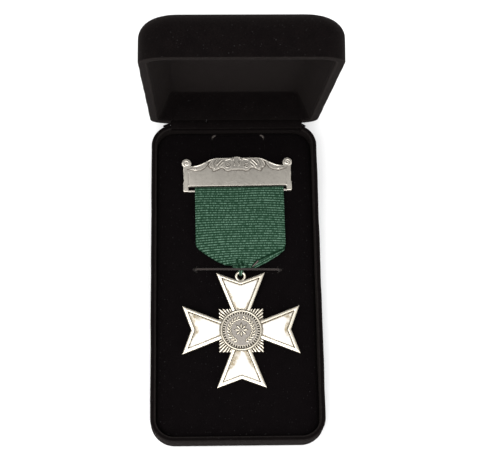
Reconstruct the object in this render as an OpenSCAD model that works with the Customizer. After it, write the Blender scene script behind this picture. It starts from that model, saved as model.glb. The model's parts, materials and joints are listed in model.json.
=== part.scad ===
// A ribbon medal lying in its open presentation box. Millimetres.
// The origin is at the middle of the box's underside, +Y runs up the medal to the hinge, +Z is up.

/* [Box] */
// Width of the box
box_w = 65.2; // [62:0.1:72]
// Length of the box
box_l = 127; // [124:0.5:140]
// Height of the base, underside to rim
base_h = 16; // [15:0.5:20]
// Height of the lid, rim to panel
lid_h = 16; // [15:0.5:20]
// Corner radius of the box, seen from above
corner_r = 9; // [7:0.5:12]
// Width of the rolled edge
roll_w = 10.5; // [8:0.5:12]
// Height of the rolled edge
roll_h = 8; // [6:0.5:9]
// Wall of the base
base_wall = 2; // [1.6:0.1:2.4]
// Rim width of the lid
lid_rim = 3; // [2.5:0.1:4]
// Depth of the lid's hollow
lid_hollow = 11.2; // [9:0.1:12]
// How far the hollow narrows from the rim to the panel, on each side
lid_slope = 5.1; // [3:0.1:6]
// Angle that the lid stands open
lid_open = 75.7; // [0:0.1:90]

/* [Hinge] */
// Distance of the hinge's middle from the middle of the box
hinge_x = 1; // [-2:0.5:2]
// Length of the notch in each back wall
notch_l = 51.6; // [48:0.2:54]
// Height of each notch
notch_h = 2.6; // [2.4:0.1:3.5]
// Distance of the hinge axis behind the back wall
axis_out = 0; // [0:0.1:1.2]
// Outer radius of the hinge knuckles
barrel_r = 1.7; // [1.5:0.05:1.8]
// Radius of the hinge pin
pin_r = 0.8; // [0.6:0.05:0.9]
// Length of the lid's knuckle
lid_knuckle = 24; // [16:1:30]

/* [Pad] */
// Depth of the pad's face below the rim
pad_drop = 3.5; // [3:0.1:4]
// Distance of the tab line's middle from the middle of the box
tab_x = 1.6; // [0:0.1:2]
// Width of the tab line
tab_w = 20.4; // [18:0.2:24]
// Place of the tab line's top edge
tab_top = 60.2; // [59:0.1:60.4]

/* [Brooch bar] */
// Length of the bar between its sides
bar_l = 42.4; // [41:0.2:44]
// Height of the bar between its scrolls
bar_h = 14.15; // [13:0.05:15]
// Thickness of the plate
bar_t = 1.5; // [1.4:0.1:2]
// Radius of the end scrolls
scroll_r = 1.95; // [1.6:0.05:2.2]
// Length of the ribbon slot
slot_l = 38.5; // [36:0.1:39]
// Middle of the bar, across and along the box
bar_at = [1.15, 35.45];
// Turn of the bar and ribbon in the box
bar_turn = 0.6; // [-1:0.1:1]

/* [Ribbon] */
// Width of the ribbon
ribbon_w = 35; // [32:0.5:35]
// Thickness of the ribbon
ribbon_t = 1; // [1:0.05:1.1]

/* [Cross] */
// Width of the cross across opposite arms
cross_w = 44.4; // [40:0.1:46]
// Width of an arm at its end
arm_end = 18.5; // [16:0.1:20]
// Width of an arm beside the medallion
arm_neck = 7.4; // [6.5:0.1:9]
// Depth of the notch in an arm's end
arm_notch = 3.4; // [2.5:0.1:4.5]
// Width of the raised border
border_w = 1.4; // [1:0.1:1.8]
// Side of the square ray plate
ray_square = 16.8; // [16.5:0.1:18]
// Diameter of the medallion
medallion_d = 16.2; // [15:0.1:16.4]
// Middle of the cross, across and along the box
cross_at = [1.7, -20.7];
// Angle by which the ribbon lifts the cross's upper arm
cross_tilt = 3; // [0:0.5:3]

/* [Hidden] */
$fn = 48;

// Small distances: between parts that touch, between moving rims, and how far a cut runs past a face
seat_gap = 0.1;
rim_gap = 0.3;
past = 1;
floor_t = 2;
pad_gap = 0.25;
pad_top = base_h - pad_drop;

// Hinge axis, the ends of the notch, and the knuckles of the base
axis_y = box_l / 2 + axis_out;
axis_z = base_h + rim_gap / 2;
pin_fit = 0.05;
knuckle_gap = 0.3;
knuckle_reach = notch_l / 2 - 0.8;
hinge_wall = 2;
lug_rise = 0.9;

// The bar stands over the pad on its pin, and its rail is thinner than its plate
bar_lift = 0.85;
bar_z = pad_top + bar_lift;
rail_h = 0.85;
rail_t = 0.8;
rail_z = (bar_t - rail_t) / 2;
plate_y = 2.3;
shoulder_y = 10.85;
ramp_start = 8.6;
ramp_end = 17.2;
crest_h = 0.7;
crest_half = 2.4;
scroll_at = [19.85, 12.15];
relief_h = 0.35;
leaf_h = 0.4;

// The ribbon's layers lie before and behind the rail
ribbon_x = 0.65;
layer_gap = 0.1;
front_z = rail_z + rail_t + layer_gap;
back_z = rail_z - layer_gap - ribbon_t;
ribbon_top = rail_h + 0.15 + ribbon_t;

// Heights in the cross, from its back
plate_t = 1.3;
border_t = 2.1;
ray_plate_t = 1.5;
ray_t = 1.9;
enamel_t = 0.65;
cell_gap = 0.05;
medallion_r = medallion_d / 2;
boss_r = medallion_r + 0.15;
cross_half = cross_w / 2;
cross_z = pad_top + seat_gap + cross_half * sin(cross_tilt);
eyelet_y = cross_half - 1.2;
eyelet_ring = 1.66;
eyelet_wire = 0.55;

// The top of the eyelet's wire, where the ribbon's neck loops around it
loop_y = cross_at[1] + (eyelet_y + eyelet_ring) * cos(cross_tilt) - eyelet_wire * sin(cross_tilt);
loop_z = cross_z + (eyelet_y + eyelet_ring) * sin(cross_tilt) + eyelet_wire * cos(cross_tilt);
loop_inner = 0.65;
loop_outer = 1.2;
loop_w = 1.1;

// The retaining cord, from one slot in the pad over the ribbon's neck to the other slot
cord_r = 0.4;
cord_sides = 8;
cord_route = [
    [-15.45, 4.1, 9.2], [-15.45, 4.1, 12.4], [-14.8, 4.07, 13.0], [0.2, 2.8, 16.9], [1.7, 2.65, 17.1],
    [3.2, 2.8, 16.9], [16.1, 3.75, 13.0], [16.75, 3.75, 12.4], [16.75, 3.75, 9.2]];
cord_slots = [[-15.45, 4.1], [16.75, 3.75]];
cord_slot = [1.4, 3, 3.6];

// Outline of the hanging ribbon from its left edge round its point to its right edge: [across, along],
// from the ribbon's centre line and the bar's lower edge. The front layer's right edge lies further in.
left_edge = [[-17.4, -22.4], [-16.4, -23.9], [-12.8, -26.5], [-9.1, -28.7], [-5.8, -30.1], [-1.8, -31.3]];
right_edge = [[5.6, -31.6], [10.4, -29.1], [14.6, -26.5], [16.9, -24.6], [17.2, -23.8]];
front_edge = [[3.8, -31.4], [5.8, -29.1], [11.5, -26.4], [16.8, -24.1]];

// Points of a rounded rectangle, counter-clockwise, and a solid through a stack of them.
// Each row of a stack is [width, length, corner radius, height].
arc_steps = 6;
ring_size = 4 * (arc_steps + 1);
function corner_sign(c) = [c == 0 || c == 3 ? 1 : -1, c < 2 ? 1 : -1];
function ring(row) = [
    for (c = [0:3])
    for (k = [0:arc_steps])
    let (a = 90 * (c + k / arc_steps), s = corner_sign(c))
    [s[0] * (row[0] / 2 - row[2]) + row[2] * cos(a), s[1] * (row[1] / 2 - row[2]) + row[2] * sin(a), row[3]]];
function tube_sides(rings, n) = [
    for (i = [0:rings - 2])
    for (k = [0:n - 1])
    [i * n + k, (i + 1) * n + k, (i + 1) * n + (k + 1) % n, i * n + (k + 1) % n]];

module stack(rows) {
    last = (len(rows) - 1) * ring_size;
    polyhedron(
        points = [for (row = rows) each ring(row)],
        faces = concat(
            [[for (k = [0:ring_size - 1]) k]],
            [[for (k = [0:ring_size - 1]) last + ring_size - 1 - k]],
            tube_sides(len(rows), ring_size)));
}

// A box half with a flat underside, a rolled lower edge and straight upper walls
module box_form(w, l, h, r, edge_w, edge_h) {
    steps = 6;
    rolled = [
        for (k = [0:steps])
        let (a = 90 * k / steps, inset = edge_w * (1 - sin(a)))
        [w - 2 * inset, l - 2 * inset, r - inset / 2, edge_h * (1 - cos(a))]];
    stack(concat(rolled, [[w, l, r, h]]));
}

// The inside of the base up to a height over the floor, drawn in by a clearance
module base_inside(height, clearance) {
    inset = base_wall + clearance;
    translate([0, 0, floor_t + clearance])
        box_form(box_w - 2 * inset, box_l - 2 * inset, height - clearance, corner_r - inset,
            roll_w - base_wall, roll_h - floor_t);
}

// The opening that the hinge lies in, from the inside of a back wall to the outside
module hinge_notch(height) {
    translate([hinge_x - notch_l / 2, box_l / 2 - 3 * hinge_wall, -past])
        cube([notch_l, 3 * hinge_wall + past, height + past]);
}

// A hinge knuckle on the hinge axis with its lug on the wall, over the given stretch of the axis
module knuckle(from, to) {
    rotate([90, 0, 90])
        translate([0, 0, from])
        cylinder(h = to - from, r = barrel_r);
    translate([from, -axis_out - hinge_wall, -notch_h - rim_gap / 2 - 0.3])
        cube([to - from, hinge_wall, notch_h + rim_gap / 2 + 0.3 + lug_rise]);
}

module hinge_bore() {
    rotate([90, 0, 90])
        cylinder(h = box_w, r = pin_r + pin_fit, center = true);
}

module on_axis() {
    translate([hinge_x, axis_y, axis_z])
        children();
}

module box_base() {
    color([0.06, 0.055, 0.05])
        difference() {
            union() {
                difference() {
                    box_form(box_w, box_l, base_h, corner_r, roll_w, roll_h);
                    base_inside(base_h, 0);
                    translate([0, 0, base_h])
                        mirror([0, 0, 1])
                        hinge_notch(notch_h);
                }
                on_axis() {
                    knuckle(-knuckle_reach, -lid_knuckle / 2 - knuckle_gap);
                    knuckle(lid_knuckle / 2 + knuckle_gap, knuckle_reach);
                }
            }
            on_axis() hinge_bore();
        }
}

// The pad fills the base up to its face. Its tab line is a shallow cut.
module pad() {
    tab_end = bar_at[1] + plate_y + 7;
    cut_w = 0.4;
    cut_d = 1.5;
    color([0.05, 0.045, 0.04])
        difference() {
            base_inside(pad_top - floor_t, pad_gap);
            translate([tab_x, 0, pad_top - cut_d])
                linear_extrude(height = cut_d + past)
                difference() {
                    tab_outline(0);
                    tab_outline(cut_w);
                    translate([-tab_w, 0])
                        square([2 * tab_w, tab_end]);
                }
            for (at = cord_slots)
                translate([at[0] - cord_slot[0] / 2, at[1] - cord_slot[1] / 2, pad_top - cord_slot[2]])
                    cube([cord_slot[0], cord_slot[1], cord_slot[2] + past]);
            on_bar()
                translate([-17, pin_y - 2.2, -bar_lift - pin_pocket])
                cube([34, 4.4, pin_pocket + past]);
        }
}

// Outline of the tab, drawn in by a cut's width: two sides and a top with round corners
module tab_outline(inset) {
    half = tab_w / 2 - inset;
    top = tab_top - inset;
    r = 1.6 - inset;
    polygon(concat(
        [[-half, tab_top / 2], [half, tab_top / 2]],
        [for (a = [0:15:90]) [half - r + r * cos(a), top - r + r * sin(a)]],
        [for (a = [90:15:180]) [-half + r + r * cos(a), top - r + r * sin(a)]]));
}

// The lid as it lies when closed, with its rim at height 0
module closed_lid() {
    hollow_w = box_w - 2 * lid_rim;
    hollow_l = box_l - 2 * lid_rim;
    flare = lid_slope / lid_hollow;
    difference() {
        translate([0, 0, lid_h])
            mirror([0, 0, 1])
            box_form(box_w, box_l, lid_h, corner_r, roll_w, roll_h);
        stack([
            [hollow_w + 2 * flare, hollow_l + 2 * flare, corner_r - lid_rim + flare, -past],
            [hollow_w - 2 * lid_slope, hollow_l - 2 * lid_slope, corner_r - lid_slope, lid_hollow]]);
        hinge_notch(notch_h);
    }
}

module box_lid() {
    color([0.08, 0.07, 0.065])
        on_axis()
        rotate([-lid_open, 0, 0])
        difference() {
            union() {
                translate([-hinge_x, -axis_y, rim_gap / 2])
                    closed_lid();
                mirror([0, 0, 1])
                    knuckle(-lid_knuckle / 2, lid_knuckle / 2);
            }
            hinge_bore();
        }
}

module hinge_pin() {
    reach = knuckle_reach + 0.3;
    color("silver")
        on_axis()
        rotate([90, 0, 90])
        cylinder(h = 2 * reach, r = pin_r, center = true);
}

// A tube along a route, each ring square to the mean of the runs that meet there
function unit(v) = v / norm(v);
function along(route, i) = unit(
    (i > 0 ? unit(route[i] - route[i - 1]) : [0, 0, 0])
    + (i < len(route) - 1 ? unit(route[i + 1] - route[i]) : [0, 0, 0]));
function cord_ring(route, i) =
    let (t = along(route, i), u = unit(cross([0, 1, 0], t)), v = cross(t, u))
    [for (k = [0:cord_sides - 1])
        let (a = 360 * k / cord_sides)
        route[i] + cord_r * (cos(a) * u + sin(a) * v)];

module retaining_cord() {
    rings = len(cord_route);
    last = (rings - 1) * cord_sides;
    color([0.25, 0.22, 0.2])
        polyhedron(
            points = [for (i = [0:rings - 1]) each cord_ring(cord_route, i)],
            faces = concat(
                [[for (k = [0:cord_sides - 1]) k]],
                [[for (k = [0:cord_sides - 1]) last + cord_sides - 1 - k]],
                tube_sides(rings, cord_sides)));
}

module on_bar() {
    translate([bar_at[0], bar_at[1], bar_z])
        rotate([0, 0, bar_turn])
        children();
}

// Upper edge of the bar: a flat top with a small crest, falling in a wave to the scrolls
function wave(t) = (1 + cos(180 * max(0, min(1, t)))) / 2;
function bar_top(x) =
    let (d = abs(x))
    shoulder_y + (bar_h - shoulder_y) * wave((d - ramp_start) / (ramp_end - ramp_start))
    + crest_h * wave(d / crest_half);

// Right half of the bar's outline below its upper edge, then the same mirrored
side_edge = [[bar_l / 2, shoulder_y], [bar_l / 2 - 0.25, 7], [bar_l / 2 - 0.3, 4.7],
    [bar_l / 2 + 0.15, 3.9], [bar_l / 2 + 0.2, 0]];

module bar_outline() {
    polygon(concat(
        [for (x = [-17.2:0.8:17.2]) [x, bar_top(x)]],
        side_edge,
        [for (i = [len(side_edge) - 1:-1:0]) [-side_edge[i][0], side_edge[i][1]]]));
}

// A pointed leaf of the given length and width, its base at the origin
module leaf(length, width, height) {
    steps = 5;
    linear_extrude(height = height)
        polygon(concat(
            [for (k = [0:steps]) [width / 2 * sin(180 * k / steps), length * k / steps]],
            [for (k = [1:steps - 1]) [-width / 2 * sin(180 * k / steps), length * (1 - k / steps)]]));
}

// Leaves of one half of the bar's relief: [across, along, lean, length, width]
bar_leaves = [[9.9, 8.7, 40, 3.6, 1.5], [8.2, 9.6, 34, 4.4, 1.5], [6.7, 10.3, 28, 4.0, 1.4],
    [5.3, 11.0, 20, 3.2, 1.2], [2.6, 11.8, -12, 2.4, 1.0]];
volute_at = [3.6, 10.3];

// One half of the relief, on the right: the band under the wave, the leaf field, leaves and a volute
module half_relief() {
    band_low = [[11.3, 11.2], [13.4, 9.7], [16.4, 8.8], [19.4, 9.7]];
    field_low = [[0, 8.9], [1.95, 8.9], [3.7, 8.4], [6.0, 9.8], [9.7, 8.4], [11.6, 10.6]];
    linear_extrude(height = bar_t + relief_h)
        polygon(concat(
            band_low,
            [for (x = [18.4:-1:11.4]) [x, bar_top(x)]]));
    linear_extrude(height = bar_t + relief_h)
        polygon(concat(
            field_low,
            [for (x = [11.2:-0.8:0]) [x, bar_top(x)]]));
    for (row = bar_leaves)
        translate([row[0], row[1], 0])
            rotate([0, 0, row[2]])
            leaf(row[3], row[4], bar_t + relief_h + leaf_h);
    translate([volute_at[0], volute_at[1], 0])
        scroll_boss(1.5, relief_h + leaf_h);
}

// A round scroll: a raised ring with a boss in it
module scroll_boss(r, height) {
    difference() {
        cylinder(h = bar_t + height, r = r);
        translate([0, 0, bar_t + height - 0.3])
            cylinder(h = past, r = 0.68 * r);
    }
    cylinder(h = bar_t + height, r = 0.34 * r);
}

module brooch_bar() {
    color([0.74, 0.72, 0.69])
        on_bar()
        difference() {
            union() {
                linear_extrude(height = bar_t)
                    bar_outline();
                for (side = [0, 1])
                    mirror([side, 0, 0]) {
                        half_relief();
                        translate([scroll_at[0], scroll_at[1], 0])
                            scroll_boss(scroll_r, relief_h + leaf_h);
                    }
                for (lean = [-16, 0, 16])
                    translate([0, 9.6, 0])
                        rotate([0, 0, lean])
                        leaf(4.2, 1.1, bar_t + relief_h + leaf_h);
                translate([-slot_l / 2, plate_y, 0])
                    cube([slot_l, 0.6, bar_t + 0.25]);
            }
            translate([-slot_l / 2, rail_h, -past])
                cube([slot_l, plate_y - rail_h, bar_t + 2 * past]);
            for (z = [-past, rail_z + rail_t])
                translate([-slot_l / 2, -past, z])
                    cube([slot_l, rail_h + 2 * past, rail_z + past]);
        }
}

// The hidden pin behind the bar, with its hinge block and its catch, lying in the pad's pocket
pin_y = 8;
pin_pocket = 1.1;
module brooch_pin() {
    wire_r = 0.45;
    block = [3, 3, bar_lift + pin_pocket - 0.25];
    color("silver")
        on_bar() {
            for (x = [-14, 14])
                translate([x - block[0] / 2, pin_y - block[1] / 2, -block[2] - 0.05])
                    cube(block);
            translate([0, pin_y, -0.9])
                rotate([0, 90, 0])
                cylinder(h = 28, r = wire_r, center = true);
        }
}

// The front and back layers, joined by the turn over the rail, by the folded left edge and by the
// folded flap that shows below the front layer's right edge
module ribbon_drape() {
    half = ribbon_w / 2;
    top_edge = [[half, ribbon_top - 0.5], [-half, ribbon_top - 0.5]];
    whole = concat(left_edge, right_edge, top_edge);
    fold_w = 1.2;
    translate([-half, rail_h + 0.15, back_z])
        cube([ribbon_w, ribbon_t, front_z + ribbon_t - back_z]);
    translate([0, 0, front_z])
        linear_extrude(height = ribbon_t)
        polygon(concat(left_edge, front_edge, top_edge));
    translate([0, 0, back_z])
        linear_extrude(height = ribbon_t)
        polygon(whole);
    translate([0, 0, back_z])
        linear_extrude(height = front_z + ribbon_t - back_z)
        polygon(concat(left_edge, [for (i = [len(left_edge) - 1:-1:0]) left_edge[i] + [fold_w / 2, fold_w]]));
    translate([0, 0, back_z])
        linear_extrude(height = front_z - back_z + 0.1)
        polygon(concat(right_edge, [for (i = [len(front_edge) - 1:-1:0]) front_edge[i] + [-fold_w / 2, fold_w]]));
}

// The gathered neck: from the drape's point to the loop around the eyelet's wire
module ribbon_neck() {
    point_y = bar_at[1] + left_edge[5][1];
    hull() {
        translate([-1.6, point_y - 0.1, bar_z + back_z + 0.2])
            cube([7, 1, front_z - back_z + 0.7]);
        translate([cross_at[0] - loop_w / 2, loop_y + loop_inner + 0.05, loop_z - 1.2])
            cube([loop_w, 0.4, 2.1]);
    }
    translate([cross_at[0], loop_y, loop_z])
        rotate([0, 90, 0])
        difference() {
            cylinder(h = loop_w, r = loop_outer, center = true);
            cylinder(h = loop_w + past, r = loop_inner, center = true);
        }
}

module ribbon() {
    color([0.16, 0.38, 0.27]) {
        on_bar()
            translate([ribbon_x, 0, 0])
            ribbon_drape();
        ribbon_neck();
    }
}

module on_cross() {
    translate([cross_at[0], cross_at[1], cross_z])
        rotate([cross_tilt, 0, 0])
        children();
}

// An arm's sides spread evenly from the medallion, and its end is a shallow V
arm_slope = (arm_end - arm_neck) / 2 / (cross_half - medallion_r);
vee_slope = arm_notch / (arm_end / 2);
function side_x(y, inset) =
    arm_neck / 2 + arm_slope * (y - medallion_r) - inset * sqrt(1 + arm_slope * arm_slope);
function vee_y(x, inset) =
    cross_half - arm_notch + vee_slope * x - inset * sqrt(1 + vee_slope * vee_slope);
function tip_x(inset) = side_x(vee_y(0, inset), inset) / (1 - arm_slope * vee_slope);

// The upper arm's outline, drawn in by a width
module arm_outline(inset) {
    foot = 3;
    x = tip_x(inset);
    polygon([
        [-side_x(foot, inset), foot], [side_x(foot, inset), foot],
        [x, vee_y(x, inset)], [0, vee_y(0, inset)], [-x, vee_y(x, inset)]]);
}

// The enamel field of the upper arm: inside the border and outside the medallion's boss
module field_outline(clearance) {
    difference() {
        arm_outline(border_w + clearance);
        circle(r = boss_r + clearance);
    }
}

module rays() {
    ray_step = 7;
    intersection() {
        translate([-ray_square / 2, -ray_square / 2, 0])
            cube([ray_square, ray_square, ray_t]);
        union() {
            for (corner = [45:90:315])
                for (i = [-3:3])
                    rotate([0, 0, corner + ray_step * i])
                    linear_extrude(height = ray_t)
                    polygon([[6, -0.25], [12.6, -0.5], [12.6, 0.5], [6, 0.25]]);
        }
    }
}

module eyelet() {
    translate([0, eyelet_y, eyelet_wire])
        rotate_extrude()
        translate([eyelet_ring, 0])
        circle(r = eyelet_wire, $fn = 24);
    translate([-1.1, cross_half - arm_notch - 1.2, 0.1])
        cube([2.2, 2, 1]);
}

module cross_frame() {
    color([0.8, 0.78, 0.74])
        on_cross()
        difference() {
            union() {
                for (turn = [0:90:270])
                    rotate([0, 0, turn])
                    linear_extrude(height = border_t)
                    arm_outline(0);
                translate([-ray_square / 2, -ray_square / 2, 0])
                    cube([ray_square, ray_square, ray_plate_t]);
                rays();
                eyelet();
            }
            for (turn = [0:90:270])
                rotate([0, 0, turn])
                translate([0, 0, plate_t])
                linear_extrude(height = border_t)
                field_outline(0);
            translate([0, 0, ray_t])
                cylinder(h = border_t, r = boss_r);
        }
}

// One enamel field, turned to its arm
module enamel(turn) {
    color([0.96, 0.95, 0.92])
        on_cross()
        rotate([0, 0, turn])
        translate([0, 0, plate_t + cell_gap])
        linear_extrude(height = enamel_t)
        field_outline(cell_gap);
}

// The round centre with its rim, a ring of beads, a wreath of paired leaves that cross at their roots,
// and an eight-pointed star
module medallion() {
    disc_t = 0.8;
    base = ray_t + cell_gap;
    beads = 48;
    bead_ring = 6.75;
    leaves = 11;
    wreath_r = 4.7;
    leaf_root = 0.2;
    color([0.6, 0.58, 0.55])
        on_cross()
        translate([0, 0, base]) {
            difference() {
                cylinder(h = disc_t + 0.35, r = medallion_r);
                translate([0, 0, disc_t])
                    cylinder(h = past, r = medallion_r - 0.8);
            }
            for (i = [0:beads - 1])
                rotate([0, 0, 360 * i / beads])
                translate([bead_ring, 0, 0])
                cylinder(h = disc_t + 0.2, r = 0.26, $fn = 16);
            for (side = [0, 1])
                mirror([side, 0, 0])
                for (i = [0:leaves - 1])
                    for (lean = [-35, 35])
                        rotate([0, 0, -160 + 14 * i])
                        translate([0, wreath_r, 0])
                        rotate([0, 0, 90 + lean])
                        translate([0, -leaf_root, 0])
                        leaf(1.7, 0.62, disc_t + 0.25);
            linear_extrude(height = disc_t + 0.3)
                polygon([for (i = [0:15]) (i % 2 == 0 ? 2.7 : 1.15) * [sin(22.5 * i), cos(22.5 * i)]]);
        }
}

box_base();
pad();
box_lid();
hinge_pin();
retaining_cord();
brooch_bar();
brooch_pin();
ribbon();
cross_frame();  // cross
enamel(0);  // enamel_top
enamel(-90);  // enamel_right
enamel(180);  // enamel_bottom
enamel(90);  // enamel_left
medallion();
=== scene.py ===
import json
from math import atan2, copysign, cos, pi, radians, sin, sqrt

import bpy
import numpy as np
from mathutils import Matrix, Vector
from mathutils.geometry import tessellate_polygon


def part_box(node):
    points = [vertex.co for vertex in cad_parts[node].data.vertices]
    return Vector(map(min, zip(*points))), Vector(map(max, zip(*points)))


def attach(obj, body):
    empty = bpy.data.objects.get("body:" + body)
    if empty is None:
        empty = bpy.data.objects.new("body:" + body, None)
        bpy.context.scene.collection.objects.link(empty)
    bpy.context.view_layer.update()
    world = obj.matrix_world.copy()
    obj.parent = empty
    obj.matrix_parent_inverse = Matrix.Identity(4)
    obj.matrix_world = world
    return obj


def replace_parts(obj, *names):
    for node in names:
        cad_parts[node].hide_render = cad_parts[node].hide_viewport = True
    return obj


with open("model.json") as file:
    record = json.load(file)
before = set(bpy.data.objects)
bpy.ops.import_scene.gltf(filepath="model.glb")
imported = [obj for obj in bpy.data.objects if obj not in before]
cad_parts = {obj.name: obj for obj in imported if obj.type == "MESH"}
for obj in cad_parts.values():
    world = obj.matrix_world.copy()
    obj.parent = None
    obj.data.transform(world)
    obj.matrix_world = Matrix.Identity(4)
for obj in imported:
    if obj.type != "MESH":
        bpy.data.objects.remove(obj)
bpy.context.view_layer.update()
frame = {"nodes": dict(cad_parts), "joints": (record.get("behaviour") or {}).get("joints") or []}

# A ribbon medal lying in its open, flock-covered presentation box.
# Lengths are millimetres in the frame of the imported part. They become metres where an object is made.
MM = 0.001
# Angle in degrees from which an edge of a mesh is shaded sharp
CREASE = 40

# Bodies
CASE = "case"
LID = "lid"

# Box, as in the part's source
LID_JOINT = frame["joints"][0]
AXIS = [coordinate / MM for coordinate in LID_JOINT["pos_m"]]
LID_OPEN = -LID_JOINT["range_deg"][0]
BASE_LOW, BASE_HIGH = [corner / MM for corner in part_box("box_base")]
PAD_LOW, PAD_HIGH = [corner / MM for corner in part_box("pad")]
PAD_TOP = PAD_HIGH.z
BOX_W = BASE_HIGH.x - BASE_LOW.x
BOX_L = -2 * BASE_LOW.y
# The gap between the closed rims, and each half's height
RIM_GAP = 0.3
HALF_H = AXIS[2] - RIM_GAP / 2
# Each half's corners, and how far the round of its outer edge reaches in and up
CORNER_R = 9
ROLL_W = 10.5
ROLL_H = 8
BASE_WALL = 2
FLOOR_T = 2
# The lid's rim, the depth of its hollow, and how far the hollow's walls slant inwards
LID_RIM = 3
LID_HOLLOW = 11.2
LID_SLOPE = 5.1
# The length of the hinge's notch
NOTCH_L = 51.6

# Medal, as in the part's source
BAR_AT = (1.15, 35.45, PAD_TOP + 0.85)
BAR_TURN = 0.6
CROSS_TILT = 3
CROSS_HALF = 22.2
CROSS_AT = (1.7, -20.7, PAD_TOP + 0.1 + CROSS_HALF * sin(radians(CROSS_TILT)))

# Camera: focal length in pixels of a picture this wide, distance from the rim's plane, shift and turns
PICTURE_W = 480
FOCAL_PX = 1463.2
CAMERA_FAR = 560.03
CAMERA_OFF = (-1.527, -18.661, 0)
CAMERA_TURNS = {"Z": 0.88, "X": -19.31, "Y": 1.45}


def smooth(value, low, high):
    """0 below low, 1 above high, and a smooth step between."""
    t = np.clip((value - low) / (high - low), 0, 1)
    return t * t * (3 - 2 * t)


def uneven(x, y, size, seed):
    """Smooth random values, mostly from -1 to 1, with features of about the given size."""
    draw = np.random.default_rng(seed)
    waves = 10
    total = np.zeros(np.shape(x))
    for _ in range(waves):
        angle, phase = draw.uniform(0, 2 * pi, 2)
        turn = 2 * pi / size * draw.uniform(0.5, 1.3)
        total += np.sin(turn * (x * cos(angle) + y * sin(angle)) + phase)
    return total / sqrt(waves)


def bell(distance, width):
    """1 at no distance, and smoothly down to 0 over about twice the width."""
    return np.exp(-(distance / width) ** 2)


def circle(steps):
    """Angles evenly round a full turn."""
    return np.linspace(0, 2 * pi, steps, endpoint=False)


def place(at, turn=0, axis="Z"):
    """A turn in degrees about an axis, and then a shift."""
    return Matrix.Translation(at) @ Matrix.Rotation(radians(turn), 4, axis)


def linked(name, data):
    """A new object of the scene."""
    made = bpy.data.objects.new(name, data)
    bpy.context.scene.collection.objects.link(made)
    return made


def solid(name, points, faces, look, body, to_frame=None, values=None):
    """A mesh object from points in millimetres that rides on a body. values are attributes of the points."""
    mesh = bpy.data.meshes.new(name)
    mesh.from_pydata([tuple(p) for p in points], [], faces)
    mesh.transform(Matrix.Scale(MM, 4) @ (to_frame or Matrix.Identity(4)))
    mesh.polygons.foreach_set("use_smooth", [True] * len(mesh.polygons))
    mesh.set_sharp_from_angle(angle=radians(CREASE))
    for key, numbers in (values or {}).items():
        made = mesh.attributes.new(key, "FLOAT", "POINT")
        made.data.foreach_set("value", np.array(np.broadcast_to(numbers, len(mesh.vertices)), np.float32))
    mesh.materials.append(look)
    mesh.validate()
    thing = linked(name, mesh)
    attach(thing, body)
    return thing


class Parts:
    """Points, faces and point values of several closed shapes that become one mesh."""

    def __init__(self):
        self.points, self.faces, self.values = [], [], []

    def add(self, points, faces, value=0.0, to_frame=None):
        first = len(self.points)
        if to_frame is not None:
            points = [to_frame @ Vector(p) for p in points]
        self.points.extend(points)
        self.faces.extend([[first + k for k in face] for face in faces])
        self.values.extend(np.broadcast_to(value, (len(points),) + np.shape(value)[1:]))


def grid_faces(rows, columns, round_rows=False):
    """Quads between rows of points, where each row may close on itself."""
    last = columns if round_rows else columns - 1
    return [
        [i * columns + k, i * columns + (k + 1) % columns,
         (i + 1) * columns + (k + 1) % columns, (i + 1) * columns + k]
        for i in range(rows - 1) for k in range(last)]


def loft(rings):
    """A closed solid through rings of points with as many points each."""
    count = len(rings[0])
    faces = grid_faces(len(rings), count, True)
    faces.append(list(range(count))[::-1])
    faces.append([(len(rings) - 1) * count + k for k in range(count)])
    return [p for ring in rings for p in ring], faces


def closed_loop(rings):
    """A solid through rings of points, of which the last one joins the first."""
    count = len(rings) * len(rings[0])
    faces = grid_faces(len(rings) + 1, len(rings[0]), True)
    return [p for ring in rings for p in ring], [[k % count for k in face] for face in faces]


def tube(route, radius, sides, up=(0, 0, 1)):
    """Rings round a route, each square to it. radius(i) gives their half widths across and towards up."""
    route = [Vector(p) for p in route]
    rings = []
    for i, at in enumerate(route):
        along = (route[min(i + 1, len(route) - 1)] - route[max(i - 1, 0)]).normalized()
        side = along.cross(Vector(up)).normalized()
        over = side.cross(along)
        wide, high = radius(i)
        rings.append([
            at + wide * cos(a) * side + high * sin(a) * over for a in circle(sides)])
    return rings


def spline(points, steps):
    """Points of a smooth curve through the given ones."""
    found = []
    for i in range(len(points) - 1):
        a, b, c, d = [Vector(points[min(max(k, 0), len(points) - 1)]) for k in range(i - 1, i + 3)]
        for t in np.linspace(0, 1, steps, endpoint=False):
            found.append(
                0.5 * (2 * b + (c - a) * t + (2 * a - 5 * b + 4 * c - d) * t * t
                       + (3 * b - 3 * c + d - a) * t ** 3))
    return found + [Vector(points[-1])]


# Distances in the plane, for reliefs

def to_path(x, y, points):
    """Distance from a path of straight runs, and the share of the path at the nearest place."""
    nearest, share = np.full(np.shape(x), 1e9), np.zeros(np.shape(x))
    runs = len(points) - 1
    for i in range(runs):
        (ax, ay), (bx, by) = points[i], points[i + 1]
        dx, dy = bx - ax, by - ay
        t = np.clip(((x - ax) * dx + (y - ay) * dy) / (dx * dx + dy * dy), 0, 1)
        far = np.hypot(x - ax - t * dx, y - ay - t * dy)
        share = np.where(far < nearest, (i + t) / runs, share)
        nearest = np.minimum(far, nearest)
    return nearest, share


def in_polygon(x, y, points):
    """Signed distance from a polygon's edge, negative inside."""
    inside = np.zeros(np.shape(x), bool)
    for (ax, ay), (bx, by) in zip(points, points[1:] + points[:1]):
        crosses = (ay > y) != (by > y)
        with np.errstate(divide="ignore", invalid="ignore"):
            inside ^= crosses & (x < (bx - ax) * (y - ay) / (by - ay) + ax)
    far, _ = to_path(x, y, points + points[:1])
    return np.where(inside, -far, far)


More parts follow.
